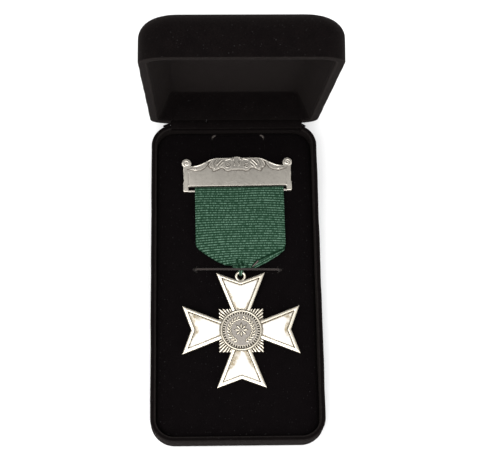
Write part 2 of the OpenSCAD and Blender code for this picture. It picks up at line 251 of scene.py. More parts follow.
def in_rectangle(x, y, width, length, radius):
    """Signed distance from a rounded rectangle's edge, negative inside."""
    dx = np.abs(x) - width / 2 + radius
    dy = np.abs(y) - length / 2 + radius
    return np.hypot(np.maximum(dx, 0), np.maximum(dy, 0)) + np.minimum(np.maximum(dx, dy), 0) - radius


def curve(start, bend, end):
    """Points of an arc from start to end, drawn towards bend."""
    t = np.linspace(0, 1, 9)
    return [
        ((1 - s) ** 2 * start[0] + 2 * s * (1 - s) * bend[0] + s * s * end[0],
         (1 - s) ** 2 * start[1] + 2 * s * (1 - s) * bend[1] + s * s * end[1]) for s in t]


def off_path(x, y, points, width, taper):
    """Distance from a path as a share of half its width, which narrows towards its ends."""
    far, share = to_path(x, y, points)
    return far / (width / 2 * (1 - taper * np.abs(2 * share - 1) ** 2.5))


def ridge(x, y, points, width, height, taper):
    """A rounded ridge along a path, thinner towards its ends."""
    return height * np.sqrt(np.clip(1 - off_path(x, y, points, width, taper) ** 2, 0, 1))


def swell(x, y, points, width, height, taper=0.6):
    """A soft ridge along a path, with gentle sides."""
    return height * (1 - smooth(off_path(x, y, points, width, taper), 0, 1))


def groove(x, y, points, width, depth):
    """A soft groove along a path."""
    far, _ = to_path(x, y, points)
    return depth * bell(far, width)


def rounded(depth, radius):
    """How far a rounded edge lies below its top at a depth inside the outline."""
    t = np.clip(1 - depth / radius, 0, 1)
    return radius * (1 - np.sqrt(1 - t * t))


def spiral(centre, outer, inner, start, turns, steps=40):
    """Points of a spiral from its outer radius to its inner one, from an angle in degrees."""
    t = np.linspace(0, 1, steps)
    r = outer + (inner - outer) * t
    a = radians(start) + 2 * pi * turns * t
    return list(zip(centre[0] + r * np.cos(a), centre[1] + r * np.sin(a)))


def relief(outline, top, bottom, x_lines, y_lines):
    """A closed solid over the grid cells whose middle is inside an outline, with its edge drawn onto it.
    outline(x, y) is a signed distance and top(x, y) a height. Gives points, faces and each point's hollow:
    how far it lies below its surroundings."""
    x, y = np.meshgrid(x_lines, y_lines, indexing="ij")

    def middle(a):
        return (a[1:, 1:] + a[:-1, 1:] + a[1:, :-1] + a[:-1, :-1]) / 4

    kept = outline(middle(x), middle(y)) < 0
    # Two cells that meet only at a corner get a third one beside them
    for view in (kept, kept[::-1]):
        touch = view[:-1, :-1] & view[1:, 1:] & ~view[1:, :-1] & ~view[:-1, 1:]
        view[1:, :-1] |= touch
    around = sum(np.pad(kept, ((i, 1 - i), (j, 1 - j))).astype(int) for i in (0, 1) for j in (0, 1))
    used = around > 0
    edge = used & (around < 4)
    # The edge's points move onto the outline, down its slope
    probe = 0.01
    for _ in range(3):
        px, py = x[edge], y[edge]
        far = outline(px, py)
        gx = (outline(px + probe, py) - outline(px - probe, py)) / (2 * probe)
        gy = (outline(px, py + probe) - outline(px, py - probe)) / (2 * probe)
        steep = np.maximum(gx * gx + gy * gy, 0.3)
        x[edge] -= far * gx / steep
        y[edge] -= far * gy / steep
    z = top(x, y)
    hollow = blurred(z, 4) - z
    number = np.full(x.shape, -1)
    number[used] = np.arange(used.sum())
    points = list(zip(x[used], y[used], z[used]))
    values = list(hollow[used])
    at = np.argwhere(kept)
    corners = [number[at[:, 0] + i, at[:, 1] + j] for i, j in ((0, 0), (1, 0), (1, 1), (0, 1))]
    faces = np.stack(corners, 1).tolist()
    # Each point of the edge, and the one that follows it
    framed = np.pad(kept, 1)
    following = {}
    for k, (di, dj) in enumerate(((0, -1), (1, 0), (0, 1), (-1, 0))):
        free = ~framed[at[:, 0] + 1 + di, at[:, 1] + 1 + dj]
        following.update(zip(corners[k][free].tolist(), corners[(k + 1) % 4][free].tolist()))
    below = {}
    for k in following:
        below[k] = len(points)
        points.append((points[k][0], points[k][1], bottom))
        values.append(0.0)
    faces += [[b, a, below[a], below[b]] for a, b in following.items()]
    # The underside is one face or more inside the loops of the edge
    loops = []
    left = dict(following)
    while left:
        k, step = left.popitem()
        loop = [k]
        while step != loop[0]:
            loop.append(step)
            step = left.pop(step)
        loops.append([below[k] for k in loop])
    flat = [k for loop in loops for k in loop]
    for a, b, c in tessellate_polygon([[Vector(points[k]) for k in loop] for loop in loops]):
        (ax, ay, _), (bx, by, _), (cx, cy, _) = points[flat[a]], points[flat[b]], points[flat[c]]
        turn = (bx - ax) * (cy - ay) - (by - ay) * (cx - ax)
        if abs(turn) > 1e-9:
            faces.append([flat[a], flat[c], flat[b]] if turn > 0 else [flat[a], flat[b], flat[c]])
    return np.array(points), faces, np.array(values)


def blurred(z, reach):
    """A grid of heights, each averaged with its neighbours as far as reach."""
    padded = np.pad(z, reach, mode="edge")
    weights = np.hanning(2 * reach + 3)[1:-1]
    weights = weights / weights.sum()
    rows = sum(w * padded[k:k + z.shape[0], :] for k, w in enumerate(weights))
    return sum(w * rows[:, k:k + z.shape[1]] for k, w in enumerate(weights))


def lines(low, high, step, fine=()):
    """Grid lines from low to high, closer over each stretch (low, high, step) in fine."""
    found = set(np.round(np.arange(low, high + step / 2, step), 4))
    for a, b, small in fine:
        found = {v for v in found if not a - step / 3 < v < b + step / 3}
        found |= set(np.round(np.arange(a, b + small / 2, small), 4))
    return np.array(sorted(found))


# Materials

class Look:
    """A node material under construction. Each method adds a node and gives its output."""

    def __init__(self, name, **numbers):
        self.material = bpy.data.materials.new(name)
        self.material.use_nodes = True
        self.tree = self.material.node_tree
        self.shader = self.tree.nodes["Principled BSDF"]
        for key, value in numbers.items():
            self.shader.inputs[key.replace("_", " ")].default_value = value

    def add(self, kind, inputs, output=0, **settings):
        made = self.tree.nodes.new(kind)
        for key, value in settings.items():
            setattr(made, key, value)
        for key, value in inputs.items():
            self.join(made.inputs[key], value)
        return made.outputs[output]

    def join(self, socket, value):
        if isinstance(value, bpy.types.NodeSocket):
            self.tree.links.new(value, socket)
        else:
            socket.default_value = value

    def where(self, stretch=(1, 1, 1)):
        """Places on the object in metres, stretched along its axes."""
        origin = self.add("ShaderNodeTexCoord", {}, "Object")
        return self.add("ShaderNodeMapping", {"Vector": origin, "Scale": stretch})

    def spots(self, size, detail=2, stretch=(1, 1, 1)):
        """Noise with features of a size in millimetres."""
        inputs = {"Vector": self.where(stretch), "Scale": 1 / (size * MM), "Detail": detail}
        return self.add("ShaderNodeTexNoise", inputs)

    def patchy(self, size, detail, low, high, to_low=0.0, to_high=1.0):
        """Noise as spots gives it, spanned from one value to another."""
        return self.span(self.spots(size, detail), low, high, to_low, to_high)

    def stripes(self, pitch, wobble):
        """Bands across the X axis with a pitch in millimetres."""
        inputs = {"Vector": self.where(), "Scale": pi / 10 / (pitch * MM), "Distortion": wobble}
        return self.add("ShaderNodeTexWave", inputs, "Fac")

    def dashes(self, row, length):
        """Noise along X that differs from row to row of a value, with features of a length in millimetres."""
        origin = self.add("ShaderNodeTexCoord", {}, "Object")
        along = self.add("ShaderNodeSeparateXYZ", {"Vector": origin}, "X")
        along = self.times(along, 1 / (length * MM))
        number = self.sums("FLOOR", self.sums("ADD", row, 0.5), 0)
        apart = self.add("ShaderNodeCombineXYZ", {"X": along, "Y": self.times(number, 7.31)})
        return self.add("ShaderNodeTexNoise", {"Vector": apart, "Scale": 1, "Detail": 1})

    def value(self, name):
        """One of the values that solid gives to a mesh's points."""
        return self.add("ShaderNodeAttribute", {}, "Fac", attribute_name=name)

    def span(self, value, low, high, to_low=0.0, to_high=1.0):
        return self.add("ShaderNodeMapRange", {
            "Value": value, "From Min": low, "From Max": high, "To Min": to_low, "To Max": to_high})

    def sums(self, how, a, b):
        return self.add("ShaderNodeMath", {0: a, 1: b}, operation=how)

    def times(self, a, b):
        return self.sums("MULTIPLY", a, b)

    def blend(self, share, first, second):
        return self.add(
            "ShaderNodeMix", {"Factor": share, "A": first, "B": second}, "Result", data_type="RGBA")

    def bump(self, height, depth, strength=1.0, under=None):
        inputs = {"Height": height, "Distance": depth * MM, "Strength": strength}
        if under is not None:
            inputs["Normal"] = under
        return self.add("ShaderNodeBump", inputs, "Normal")

    def wear(self, **sockets):
        """Joins outputs to the shader's sockets and gives the finished material."""
        for key, value in sockets.items():
            self.join(self.shader.inputs[key.replace("_", " ")], value)
        return self.material


def rgb(red, green, blue):
    return (red, green, blue, 1)


def shade(colour, share):
    """A colour made darker."""
    return [c * share for c in colour[:3]] + [1]


def flock(name, deep, raised, lint, sheen):
    """Short upright pile: a fine grain, soft patches where it leans, a few specks of lint, and paler
    fibres where the value worn is high: wear and a painted highlight along the rims, and paler places along
    the pad's cut."""
    look = Look(name, Roughness=0.95, Sheen_Weight=sheen, Sheen_Roughness=0.5, Specular_IOR_Level=0.02)
    look.shader.inputs["Sheen Tint"].default_value = rgb(0.75, 0.62, 0.58)
    grain = look.spots(0.25, 2)
    share = look.times(look.span(grain, 0.35, 0.7), look.patchy(4, 4, 0.3, 0.7, 0.4, 1))
    colour = look.blend(share, deep, raised)
    colour = look.blend(look.patchy(0.5, 0, 0.80, 0.82), colour, lint)
    ragged = look.times(look.value("worn"), look.patchy(0.45, 3, 0.3, 0.6, 0.4, 1.2))
    colour = look.blend(ragged, colour, rgb(0.40, 0.35, 0.32))
    pile = look.bump(grain, 0.25, 0.6, look.bump(look.spots(0.7, 2), 0.2, 0.35))
    return look.wear(Base_Color=colour, Normal=pile)


def cast_metal(name, body, raised, tarnish, roughness, hollows, edges):
    """Cast silver: a satin body, tarnish in the hollows and paler, smoother high edges. hollows and edges
    are the depths and heights in millimetres over which the two come in."""
    look = Look(name, Metallic=1.0)
    hollow = look.value("hollow")
    dark = look.times(look.span(hollow, *hollows), look.patchy(0.9, 3, 0.25, 0.6, 0.55, 1))
    high = look.span(hollow, -edges[0], -edges[1])
    colour = look.blend(look.patchy(2.2, 4, 0.3, 0.75), body, shade(body, 0.985))
    colour = look.blend(high, colour, raised)
    colour = look.blend(dark, colour, tarnish)
    worn = look.span(high, 0, 1, 1.0, 0.85)
    rough = look.times(worn, look.patchy(0.8, 3, 0.3, 0.7, roughness * 0.92, roughness * 1.08))
    grain = look.bump(look.spots(0.16, 2), 0.012, 0.4)
    return look.wear(Base_Color=colour, Roughness=rough, Normal=grain)


def plain_metal(name, colour, roughness):
    """A drawn or turned metal part with fine scratches along it."""
    look = Look(name, Metallic=1.0)
    streaks = look.spots(0.5, 3, stretch=(0.12, 1, 1))
    tint = look.blend(look.span(streaks, 0.3, 0.7), colour, shade(colour, 0.8))
    rough = look.span(streaks, 0.3, 0.7, roughness * 0.8, roughness * 1.25)
    return look.wear(Base_Color=tint, Roughness=rough, Normal=look.bump(streaks, 0.01, 0.4))


def black_lacquer():
    """Dull black lacquer on the hinge's rod, rubbed a little along it."""
    look = Look("black_lacquer", Roughness=0.6, Specular_IOR_Level=0.08)
    rubbed = look.span(look.spots(0.8, 3, stretch=(0.2, 1, 1)), 0.5, 0.75)
    colour = look.blend(rubbed, rgb(0.0030, 0.0026, 0.0027), rgb(0.0075, 0.0066, 0.0064))
    return look.wear(Base_Color=colour, Normal=look.bump(look.spots(0.3, 2), 0.02, 0.3))


def grosgrain():
    """Ribbed silk: painted shade between the ribs, and a painted highlight in broken dashes along each. The
    rib value is 1 on a rib, and row counts the ribs. Where the value thread is 1 it is a loose grey thread."""
    look = Look("grosgrain", Roughness=0.75, Sheen_Weight=0.03, Sheen_Roughness=0.4, Specular_IOR_Level=0.12)
    look.shader.inputs["Sheen Tint"].default_value = rgb(0.55, 0.85, 0.70)
    row = look.value("row")
    highlight_dashes = look.span(look.dashes(row, 0.60), 0.41, 0.59, 0.08, 1)
    stretches = look.span(look.dashes(row, 7), 0.3, 0.7, 0.65, 1.05)
    fuzz = look.spots(0.45, 2)
    rib_and_shade = look.sums("ADD", look.value("rib_and_shade"), look.span(fuzz, 0.3, 0.7, -0.16, 0.16))
    # Painted shade between the ribs, and a painted highlight in broken dashes along their crests
    shaded_grooves = look.blend(look.span(rib_and_shade, 0.35, 0.85), rgb(0.0018, 0.0190, 0.0072), rgb(0.0140, 0.0475, 0.0250))
    light = look.times(look.span(rib_and_shade, 0.66, 0.92), look.times(highlight_dashes, stretches))
    colour = look.blend(light, shaded_grooves, rgb(0.105, 0.192, 0.136))
    colour = look.blend(look.value("thread"), colour, rgb(0.115, 0.085, 0.082))
    weave = look.bump(look.stripes(0.30, 0.6), 0.04, 0.3, look.bump(fuzz, 0.08, 0.4))
    return look.wear(Base_Color=colour, Normal=weave)


def enamel_look():
    """White fired enamel: glossy, and warmer and darker where its thin value is high: partly thin enamel,
    partly painted shade and reflection near the borders.
    """
    look = Look("enamel", Roughness=0.16, Coat_Weight=0.6, Coat_Roughness=0.06, IOR=1.5)
    thin_and_shade = look.times(look.value("thin_and_shade"), look.patchy(1.2, 4, 0.35, 0.6, 0.6, 1))
    colour = look.blend(thin_and_shade, rgb(0.90, 0.89, 0.86), rgb(0.30, 0.24, 0.145))
    return look.wear(Base_Color=colour, Normal=look.bump(look.spots(1.6, 2), 0.02, 0.3))


def elastic_look():
    """Round braided elastic, dark brown with paler crossing strands."""
    look = Look("elastic", Roughness=0.75, Sheen_Weight=0.12, Sheen_Roughness=0.5, Specular_IOR_Level=0.15)
    paler = look.span(look.value("strand"), 0.2, 0.9)
    colour = look.blend(paler, rgb(0.013, 0.0095, 0.0085), rgb(0.050, 0.039, 0.035))
    return look.wear(Base_Color=colour, Normal=look.bump(look.spots(0.15, 2), 0.03, 0.5))


def floor_look():
    """Pale card, a little cloudy."""
    look = Look("floor", Roughness=0.9)
    cloudy = look.patchy(60, 2, 0.3, 0.7)
    return look.wear(Base_Color=look.blend(cloudy, rgb(0.93, 0.93, 0.93), rgb(0.90, 0.90, 0.90)))


# Box

# The shells' mesh: its steps round a corner, and along the short and the long sides
CORNER_STEPS = 26
SHORT_STEPS = 30
LONG_STEPS = 62
# How far the flock is made paler along the rims' edges: wear, and a painted highlight where the rounded edges
# catch the light
RIM_WEAR_AND_HIGHLIGHT = 0.022
# The flock covering fills each hinge notch up to the knuckles
NOTCH_H = 1.7
KNUCKLE_R = 1.8
KNUCKLE_EDGE = 0.04
# The lid's knuckle reaches this far each way, and the base's two begin after a gap
LID_KNUCKLE = 12
KNUCKLE_GAP = 0.03
# How far the hinge's leaves stand out from its axis
LEAF_OUT = 0.7
# The fold of the covering: its radius and its ends', how far it is outside and below the hinge's axis, and
# where it ends
FOLD_R = 0.44
FOLD_END_R = 0.3
FOLD_OUT = 0.2
FOLD_DOWN = 0.2
FOLD_SPAN = (-28.0, 28.4)
# Radii of the rims' rounded edges: outside, and inside on the base and on the lid
RIM_EDGE = 0.55
BASE_INNER_EDGE = 0.7
LID_INNER_EDGE = 0.8
# The lid as it was pressed: a little larger than the base, and turned on its hinge
LID_GROW = (0.55, 0.5)
LID_TURN = 0.12


def ring(width, length, radius, height):
    """Points of a rounded rectangle, counter-clockwise, as many at every size."""
    arcs = []
    for turn, (sx, sy) in enumerate(((1, 1), (-1, 1), (-1, -1), (1, -1))):
        angles = np.radians(np.linspace(90 * turn, 90 * turn + 90, CORNER_STEPS + 1))
        arcs.append(np.stack([
            sx * (width / 2 - radius) + radius * np.cos(angles),
            sy * (length / 2 - radius) + radius * np.sin(angles)], 1))
    points = []
    for k, arc in enumerate(arcs):
        steps = SHORT_STEPS if k % 2 == 0 else LONG_STEPS
        share = np.linspace(0, 1, steps + 1)[1:-1, None]
        points += list(arc) + list(arc[-1] + (arcs[(k + 1) % 4][0] - arc[-1]) * share)
    return [(px, py, height) for px, py in points]


def outer_rows(edge):
    """Rows (inset, corner radius, height, wear and painted highlight) of a half of the box, from its
    underside to its rim.
    """
    rows = []
    for a in np.radians(np.linspace(0, 90, 13)):
        inset = ROLL_W * (1 - sin(a))
        rows.append((inset, CORNER_R - inset / 2, ROLL_H * (1 - cos(a)), 0))
    rows += [(0, CORNER_R, h, 0) for h in np.linspace(ROLL_H, HALF_H - edge, 9)[1:]]
    for a in np.radians(np.linspace(0, 90, 7))[1:]:
        inset = edge * (1 - cos(a))
        rows.append((inset, CORNER_R - inset, HALF_H - edge + edge * sin(a), sin(2 * a)))
    return rows


def rim_inner_rows(wall, edge):
    """Rows over the rim's flat and round its inner edge."""
    rows = []
    for a in np.radians(np.linspace(0, 90, 7)):
        inset = wall - edge + edge * sin(a)
        rows.append((inset, CORNER_R - inset, HALF_H - edge + edge * cos(a), sin(2 * a)))
    return rows


def make_shell(name, rows, notch_x, look, body, to_frame=None, grow=(0, 0)):
    """A half of the box from its rows, with the hinge's notch let into its back wall."""
    width, length = BOX_W + grow[0], BOX_L + grow[1]
    points, faces = loft([ring(width - 2 * i, length - 2 * i, max(r, 0.6), h) for i, r, h, _ in rows])
    points = np.array(points) - [0, grow[1] / 2, 0]
    x, y, z = points.T
    soft = 0.2
    back = smooth(y, BOX_L / 2 - 9, BOX_L / 2 - 8)
    in_notch = back * (1 - smooth(np.abs(x - notch_x), NOTCH_L / 2 - soft, NOTCH_L / 2 + soft))
    foot = HALF_H - NOTCH_H - 3
    points[:, 2] = z - np.clip((z - foot) / (HALF_H - foot), 0, 1) * NOTCH_H * in_notch
    points[:, 0] += 0.05 * uneven(x + z, y, 14, 3) * np.sign(x)
    # Paler fibres along the rims' rounded edges, partly wear and partly a painted highlight; none in the
    # hinge's notch
    wear = np.repeat([w for _, _, _, w in rows], len(points) // len(rows)) * (1 - in_notch)
    made = solid(name, points, faces, look, body, to_frame, values={"worn": RIM_WEAR_AND_HIGHLIGHT * wear})
    return made


def make_base(look):
    """The base: a wall all round, and a floor with the same round as the underside."""
    rows = outer_rows(RIM_EDGE) + rim_inner_rows(BASE_WALL, BASE_INNER_EDGE)
    inner_h = np.linspace(HALF_H - BASE_INNER_EDGE, ROLL_H, 9)[1:]
    rows += [(BASE_WALL, CORNER_R - BASE_WALL, h, 0) for h in inner_h]
    for a in np.radians(np.linspace(90, 0, 8))[1:]:
        inset = BASE_WALL + (ROLL_W - BASE_WALL) * (1 - sin(a))
        radius = CORNER_R - BASE_WALL - (inset - BASE_WALL) / 2
        rows.append((inset, radius, FLOOR_T + (ROLL_H - FLOOR_T) * (1 - cos(a)), 0))
    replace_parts(make_shell("base_shell", rows, AXIS[0], look, CASE), "box_base")


def lid_to_frame():
    """From the lid as drawn, with its rim up at HALF_H, to its place when it stands open."""
    closed = Matrix.Translation((0, 0, HALF_H)) @ Matrix.Rotation(pi, 4, "Y")
    seat = Matrix.Translation((-AXIS[0], -AXIS[1], RIM_GAP / 2))
    turned = Matrix.Rotation(radians(LID_TURN), 4, "Z")
    return place(AXIS, -LID_OPEN, "X") @ turned @ seat @ closed


def make_lid(look):
    """The lid: slanted walls that run into its panel over a small fillet."""
    rows = outer_rows(RIM_EDGE) + rim_inner_rows(LID_RIM, LID_INNER_EDGE)
    fillet = 1.4
    panel = HALF_H - LID_HOLLOW
    slope = atan2(LID_SLOPE, LID_HOLLOW)
    for t in np.linspace(0.08, 0.88, 9):
        rows.append((LID_RIM + LID_SLOPE * t, CORNER_R - LID_RIM - 2.1 * t, HALF_H - LID_HOLLOW * t, 0))
    for a in np.linspace(0, pi / 2 - slope, 6):
        inset = LID_RIM + LID_SLOPE - 0.35 + fillet * (1 - cos(a + slope)) * 1.3
        rows.append((inset, 3.6, panel + fillet * (1 - sin(a + slope)), 0))
    for inset in (12, 18, 26):
        rows.append((inset, 3.2, panel + 0.25 * smooth(inset, 8, 20), 0))
    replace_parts(make_shell("lid_shell", rows, -AXIS[0], look, LID, lid_to_frame(), LID_GROW), "box_lid")


def knuckles(stretches):
    """Rolled knuckles over stretches of the hinge's axis."""
    parts = Parts()
    for low, high in stretches:
        small = KNUCKLE_R - KNUCKLE_EDGE
        ends = [
            (low, small), (low + KNUCKLE_EDGE, KNUCKLE_R), (high - KNUCKLE_EDGE, KNUCKLE_R), (high, small)]
        parts.add(*loft([
            [(along, r * cos(a), r * sin(a)) for a in circle(40)] for along, r in ends]))
    return parts


def fold():
    """A thin fold of the covering outside the two rims. It follows them a little way round the corners."""
    route, radii = [], []
    for x in np.linspace(*FOLD_SPAN, 60):
        past = max(abs(x) - (BOX_W / 2 - CORNER_R), 0)
        back = CORNER_R - sqrt(CORNER_R ** 2 - past ** 2)
        route.append(Vector((x - AXIS[0], FOLD_OUT - 0.95 * back, -FOLD_DOWN)))
        from_end = min(x - FOLD_SPAN[0], FOLD_SPAN[1] - x)
        radii.append(FOLD_END_R + (FOLD_R - FOLD_END_R) * float(smooth(from_end, 0, 0.9)))
    return loft(tube(route, lambda i: (radii[i], radii[i]), 12))


def make_hinge(look):
    """The hinge under its covering: two knuckles on the base, the lid's between them, and a leaf on each."""
    reach = NOTCH_L / 2 + 0.15
    low, high = KNUCKLE_R + 0.02, NOTCH_H + 1.5
    inner = LID_KNUCKLE + KNUCKLE_GAP
    # Each leaf's section, from the axis: out and up, when the box is closed
    base_leaf = [
        (-BASE_WALL - 0.03, -high), (LEAF_OUT, -high), (LEAF_OUT, -low), (-BASE_WALL - 0.03, -low)]
    lid_leaf = [
        (-LID_RIM - 0.08, low + 0.18), (-1.4, 1.36), (-0.4, low + 0.03), (LEAF_OUT, low + 0.03),
        (LEAF_OUT, high), (-LID_RIM - 0.98, high)]
    for name, body, turn, stretches, leaf in (
            ("base_hinge", CASE, 0, [(-reach, -inner), (inner, reach)], base_leaf),
            ("lid_hinge", LID, -LID_OPEN, [(-LID_KNUCKLE, LID_KNUCKLE)], lid_leaf)):
        parts = knuckles(stretches)
        parts.add(*loft([[(x, out, up) for out, up in leaf] for x in (-reach, reach)]))
        if body == CASE:
            parts.add(*fold())
        made = solid(name, parts.points, parts.faces, look, body, place(AXIS, turn, "X"), values={"worn": 0})


# Pad

# The tab's cut: its middle, width, upper end and corners
TAB_X = 1.6
TAB_W = 20.4
TAB_TOP = 60.2
TAB_R = 1.6
# Slits of the elastic, and the way their puckered lips point
SLITS = [(-15.45, 4.1, -1), (16.75, 3.75, 1)]


def tab_path():
    """The cut of the tab: up its left side, round two corners and down its right side."""
    half, foot = TAB_W / 2, BAR_AT[1] + 9
    left = [(-half + TAB_R - TAB_R * sin(a), TAB_TOP - TAB_R + TAB_R * cos(a))
            for a in np.radians(np.linspace(90, 0, 7))]
    right = [(-x, y) for x, y in left[::-1]]
    return [(TAB_X + x, y) for x, y in [(-half, foot)] + left + right + [(half, foot)]]


def lip(x, y, sx, sy, way):
    """The raised lips of a slit, drawn out to a point."""
    path = [(sx - 0.5 * way, sy + 1.1), (sx + 0.9 * way, sy), (sx - 0.5 * way, sy - 1.1)]
    return ridge(x, y, path, 0.7, 1, 0.3)


def make_pad(look):
    """A foam pad with a crowned edge, the tab's cut and the two puckered slits of the elastic."""
    width, length = PAD_HIGH.x - PAD_LOW.x, PAD_HIGH.y - PAD_LOW.y
    cut = tab_path()

    def outline(x, y):
        return in_rectangle(x, y, width, length, CORNER_R - BASE_WALL)

    def top(x, y):
        depth = -outline(x, y)
        z = PAD_TOP - rounded(depth, 1.3) - 0.25 * np.exp(-np.maximum(depth, 0) / 4)
        far, _ = to_path(x, y, cut)
        z = z - 1.0 * bell(far, 0.2) + 0.10 * bell(far - 0.55, 0.3)
        for sx, sy, way in SLITS:
            slit = bell(x - sx, 0.3) * np.exp(-((y - sy) / 1.25) ** 6)
            z = z + 0.30 * lip(x, y, sx, sy, way) - 1.5 * slit
        return z + 0.06 * uneven(x, y, 9, 5)

    near, beyond, coarse, fine = 0.9, 0.2, 0.8, 0.16
    tab_left, tab_right = TAB_X - TAB_W / 2, TAB_X + TAB_W / 2
    x_lines = lines(-width / 2 - beyond, width / 2 + beyond, coarse, [
        (tab_left - near, tab_left + 2, fine), (tab_right - 2, tab_right + near, fine),
        *[(sx - 1.5, sx + 1.5, fine) for sx, _, _ in SLITS]])
    y_lines = lines(-length / 2 - beyond, length / 2 + beyond, coarse, [
        (SLITS[1][1] - 2, SLITS[0][1] + 2, 0.2), (TAB_TOP - 2.4, TAB_TOP + near, fine)])
    points, faces, _ = relief(outline, top, ROLL_H + 0.3, x_lines, y_lines)
    x, y, _ = points.T
    far, _ = to_path(x, y, cut)
    # Paler flock along the tab's cut, most at its two upper corners, and on the slits' lips
    at_side = smooth(np.abs(x - TAB_X), TAB_W / 2 - 1.7, TAB_W / 2 - 1.1)
    corner = bell(y - TAB_TOP + 0.45, 0.75) * at_side
    paler_cut = bell(far, 0.22) * (0.006 + 0.8 * corner)
    lips = sum(lip(x, y, *slit) for slit in SLITS)
    made = solid("foam_pad", points, faces, look, CASE, values={"worn": paler_cut + 0.05 * lips})
    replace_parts(made, "pad")


# Brooch bar

BAR_T = 1.5
BAR_H = 14.15
# The upper edge: its height at the scrolls, where its wave starts and ends, and the crest's height and reach
SHOULDER_Y = 10.85
RAMP = (7.6, 17.2)
CREST = (0.45, 3.0)
SCROLL_AT = (19.85, 12.05)
SCROLL_R = 1.9
# Half the slot's length, and where the plate begins over it
SLOT_HALF = 19.25
PLATE_Y = 2.3
# The rail under the slot: its lower edge, height, thickness and underside
RAIL = {"y": 0.12, "high": 0.73, "thick": 0.8, "low": 0.35}
FOOT_Y = 0.15
# The right side's outline, from the scroll down
SIDE = [(21.25, 10.85), (21.15, 7.0), (21.0, 4.7), (21.1, 4.2), (21.3, 3.8), (21.28, 0.5), (21.0, FOOT_Y)]

# Lower edges of the raised band under the wave and of the leaf field, on the right half
BAND_LOW = [(19.5, 9.5), (17.6, 9.0), (16.2, 8.65), (14.2, 8.95), (12.6, 9.9), (11.5, 11.3), (11.0, 12.6)]
FIELD_LOW = [(-1, 8.9), (2.3, 8.9), (3.0, 8.5), (3.8, 8.4), (4.6, 8.7), (5.4, 9.5), (6.2, 9.85), (7.3, 9.2),
             (8.4, 8.7), (9.3, 8.45), (9.7, 8.9), (9.9, 9.7), (10.6, 9.9), (11.1, 10.5), (11.2, 11.3),
             (11.0, 12.6)]

# Strokes of the leaves on the right half: start, bend, end, width, height
STROKES = [
    ((11.15, 10.8), (11.0, 12.1), (10.0, 12.9), 0.75, 0.30),
    ((10.2, 9.9), (10.5, 10.9), (9.9, 11.7), 0.50, 0.18),
    ((8.8, 9.6), (9.6, 11.4), (8.0, 13.3), 0.60, 0.28),
    ((7.9, 11.1), (7.5, 12.0), (5.9, 13.3), 0.85, 0.34),
    ((7.4, 9.8), (7.5, 10.7), (5.3, 12.5), 0.60, 0.26),
    ((6.2, 10.1), (6.0, 10.7), (5.4, 11.2), 0.50, 0.18),
    ((4.6, 13.1), (3.6, 13.5), (2.4, 13.6), 0.55, 0.20),
    ((2.2, 12.9), (1.9, 13.6), (2.3, 14.0), 0.50, 0.22),
    ((1.45, 13.2), (1.25, 13.9), (0.85, 14.5), 0.60, 0.32),
    ((0.85, 10.9), (0.95, 11.7), (0.75, 12.5), 0.50, 0.26),
]
VOLUTE_AT = (3.75, 10.7)


def bar_top(x):
    """Height of the bar's upper edge: a crest on a flat top that falls in a wave to the scrolls."""
    def wave(t):
        return (1 + np.cos(np.pi * np.clip(t, 0, 1))) / 2
    x = np.abs(x)
    return (SHOULDER_Y + (BAR_H - SHOULDER_Y) * wave((x - RAMP[0]) / (RAMP[1] - RAMP[0]))
            + CREST[0] * wave(x / CREST[1]))


def upper_edge(start, end, count, lift=0):
    """Points along the bar's upper edge, or over it."""
    return [(x, float(bar_top(x)) + lift) for x in np.linspace(start, end, count)]


def bar_outline():
    """The bar's signed distance, from its right half. The slot is open towards the rail."""
    half = upper_edge(-1, RAMP[1], 60) + SIDE + [(-1, FOOT_Y)]

    def outline(x, y):
        x = np.abs(x)
        scroll = np.hypot(x - SCROLL_AT[0], y - SCROLL_AT[1]) - SCROLL_R
        slot = in_rectangle(x, y, 2 * SLOT_HALF, 2 * PLATE_Y, 0.35)
        return np.maximum(np.minimum(in_polygon(x, y, half), scroll), -slot)
    return outline


def bar_surface(outline):
    """Height of the bar's cast face."""
    edge = upper_edge(-1, 18.4, 60)
    upper = upper_edge(19.5, -1, 40, 1)
    band = BAND_LOW + upper[:int(0.42 * len(upper))]
    field = FIELD_LOW + [(10.6, 14.2), (9, 15.5), (-1, 16)]
    scroll = spiral(SCROLL_AT, 1.35, 0.35, -60, 1.35)
    volute = spiral(VOLUTE_AT, 1.15, 0.25, 200, -1.5)
    curl = spiral((16.35, 9.45), 0.55, 0.12, -60, 1.1, 16)

    def top(x, y):
        x = np.abs(x)
        band_in = -in_polygon(x, y, band)
        field_in = -in_polygon(x, y, field)
        raised = np.maximum(0.06 * smooth(band_in, -0.1, 0.6), 0.07 * smooth(field_in, -0.1, 0.7))
        carved = np.zeros(np.shape(x))
        for start, bend, end, width, height in STROKES:
            carved = np.maximum(carved, swell(x, y, curve(start, bend, end), 0.95 * width, 0.5 * height))
        carved = np.maximum(carved, swell(x, y, volute, 0.5, 0.065, 0.3))
        carved = np.maximum(carved, swell(x, y, curl, 0.5, 0.08, 0.3))
        z = BAR_T + raised + carved * smooth(np.maximum(field_in, band_in), 0, 0.25)
        from_edge, _ = to_path(x, y, edge)
        on_ramp = smooth(x, 8.0, 10.5) * (1 - smooth(x, 16.0, 18.0))
        z = z + (0.03 + 0.09 * on_ramp) * (1 - smooth(from_edge, 0.05, 0.55))
        from_scroll = np.hypot(x - SCROLL_AT[0], y - SCROLL_AT[1])
        in_scroll = 1 - smooth(from_scroll, SCROLL_R - 0.1, SCROLL_R + 0.1)
        domed = 0.10 * smooth(y, SCROLL_AT[1] - SCROLL_R, SCROLL_AT[1] + 0.6)
        disc = domed + swell(x, y, scroll, 0.6, 0.10, 0.2)
        z = z + (BAR_T + disc - z) * in_scroll
        z = z - groove(x, y, [(19.1, 3.2), (19.1, 7.9)], 0.16, 0.05)
        z = z - 0.02 * (1 - smooth(y - PLATE_Y, 0, 0.35)) * (x < SLOT_HALF)
        z = z + 0.002 * uneven(x * 1.3, y, 8, 8)
        return z - rounded(-outline(x, y), 0.14)
    return top


